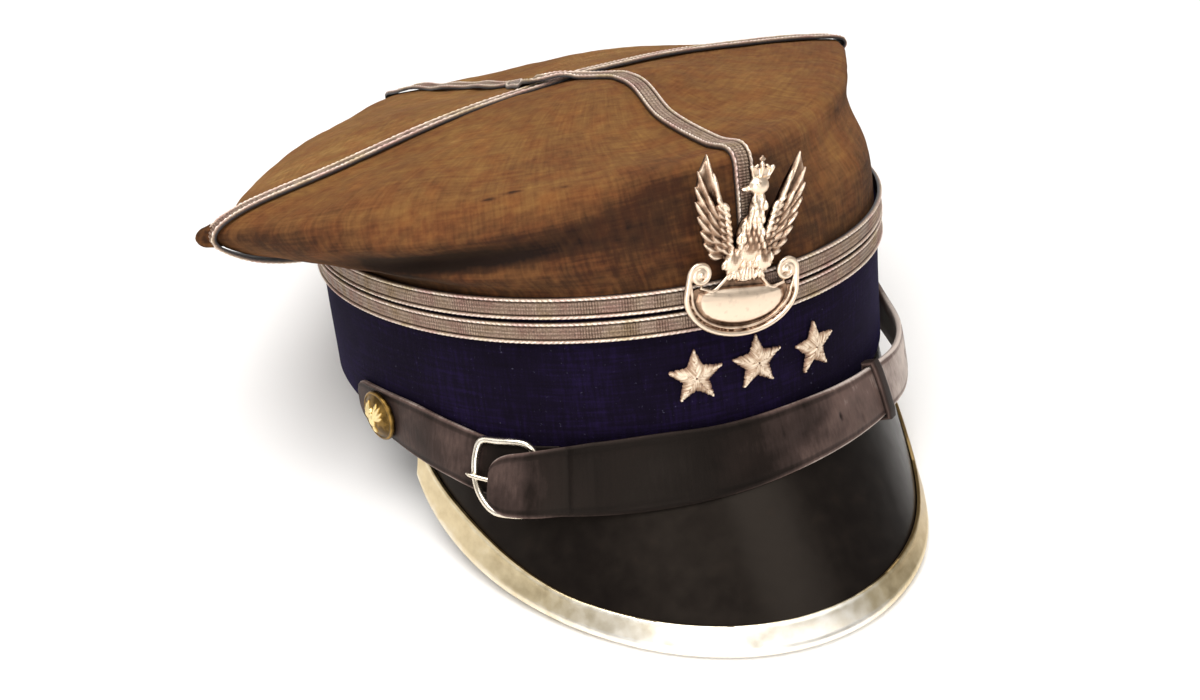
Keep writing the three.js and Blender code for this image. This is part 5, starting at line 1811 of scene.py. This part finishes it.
def build_star(number, angle, height):
    points, faces = joined(star_shapes())
    relief = np.clip(0.45 + 0.9 * stands_above(points, 0.4, 1), 0, 1)
    placed = on_band(points, angle, STAR["out"], height)
    make_piece(f"purl_star_{number}", placed, faces, PURL, [f"star_{number}"],
               {"relief": relief}, crease=70)


for star_number, (star_angle, star_height) in enumerate(STAR_PLACES, 1):
    build_star(star_number, star_angle, star_height)

# %% [markdown]
# The setting is a plain pale floor. The camera stands where the photograph's
# did: in front, to the wearer's right and well above. Its place is given from
# the middle of the band's opening, in millimetres, and three directions turn
# it, so that it needs no target.

# %% Floor and camera
CAMERA = {"from_band": (-196.72, -386.28, 283.15), "azimuth": -26.875, "elevation": 34.067,
          "focal_px": 1502.49, "picture_px": 1200, "sensor_mm": 36.0}
FLOOR_REACH = 4  # metres


def build_floor():
    material, tree = start_material("pale_floor")
    surface = add(tree, "BsdfPrincipled", Base_Color=hex_colour("f2f0ee"), Roughness=0.9)
    add(tree, "OutputMaterial", Surface=surface)
    mesh = bpy.data.meshes.new("floor")
    corners = [(x * FLOOR_REACH, y * FLOOR_REACH, 0) for x, y in ((-1, -1), (1, -1), (1, 1), (-1, 1))]
    mesh.from_pydata(corners, [], [(0, 1, 2, 3)])
    mesh.materials.append(material)
    floor = bpy.data.objects.new("floor", mesh)
    bpy.context.scene.collection.objects.link(floor)


def build_camera():
    """A camera that looks along minus back, with right and up square to it."""
    azimuth = math.radians(CAMERA["azimuth"])
    elevation = math.radians(CAMERA["elevation"])
    level = math.cos(elevation)
    back = Vector((math.sin(azimuth) * level, -math.cos(azimuth) * level, math.sin(elevation)))
    right = Vector((math.cos(azimuth), math.sin(azimuth), 0))
    up = back.cross(right)
    lens = bpy.data.cameras.new("camera")
    lens.sensor_width = CAMERA["sensor_mm"]
    lens.lens = CAMERA["focal_px"] / CAMERA["picture_px"] * CAMERA["sensor_mm"]
    camera = bpy.data.objects.new("camera", lens)
    camera.matrix_world = Matrix((
        (right.x, up.x, back.x, 0), (right.y, up.y, back.y, 0), (right.z, up.z, back.z, 0), (0, 0, 0, 1)))
    camera.location = seat + Vector(CAMERA["from_band"]) * MM
    bpy.context.scene.collection.objects.link(camera)
    bpy.context.scene.camera = camera
    print("camera at", tuple(round(v, 3) for v in camera.location), "lens", round(lens.lens, 2))


build_floor()
build_camera()

# %% [markdown]
# Light is soft and comes from above: a large panel overhead and to the left,
# and one in front that opens the shadows under the crown. A third, behind on
# the right, draws the bright streak down the side of the peak, a fourth fills
# the left, and a small one in front gives the peak its soft glow. A pale sky
# lights everything a little. The large sizes keep shadows faint.

# %% Light
LIGHTS = [
    # name, place and aim in metres, size in metres, watts
    ("overhead", (-0.35, -0.2, 1.5), (0, 0, 0), 1.2, 24.0),
    ("front_fill", (-0.7, -1.6, 0.5), (0, 0, 0), 1.0, 13.0),
    ("back_right", (1.1, 1.0, 0.9), (0, 0, 0), 0.8, 5.0),
    ("left_fill", (-1.2, 0.35, 0.75), (0, 0, 0), 1.0, 3.5),
    ("front_glow", (0.35, -0.84, 0.9), (0.25, -0.6, 0), 0.56, 2.1),
]


def build_lights():
    for name, place, aim, size, watts in LIGHTS:
        panel = bpy.data.lights.new(name, "AREA")
        panel.shape = "SQUARE"
        panel.size = size
        panel.energy = watts
        light = bpy.data.objects.new(name, panel)
        light.location = place
        light.rotation_euler = (Vector(aim) - Vector(place)).to_track_quat("-Z", "Y").to_euler()
        bpy.context.scene.collection.objects.link(light)
    world = bpy.data.worlds.new("pale_sky")
    world.use_nodes = True
    sky = world.node_tree.nodes["Background"]
    sky.inputs["Color"].default_value = hex_colour("f8f6f3")
    sky.inputs["Strength"].default_value = 0.4
    bpy.context.scene.world = world
    bpy.context.scene.view_settings.view_transform = "Standard"
    print("lights:", [name for name, *_ in LIGHTS])


build_lights()
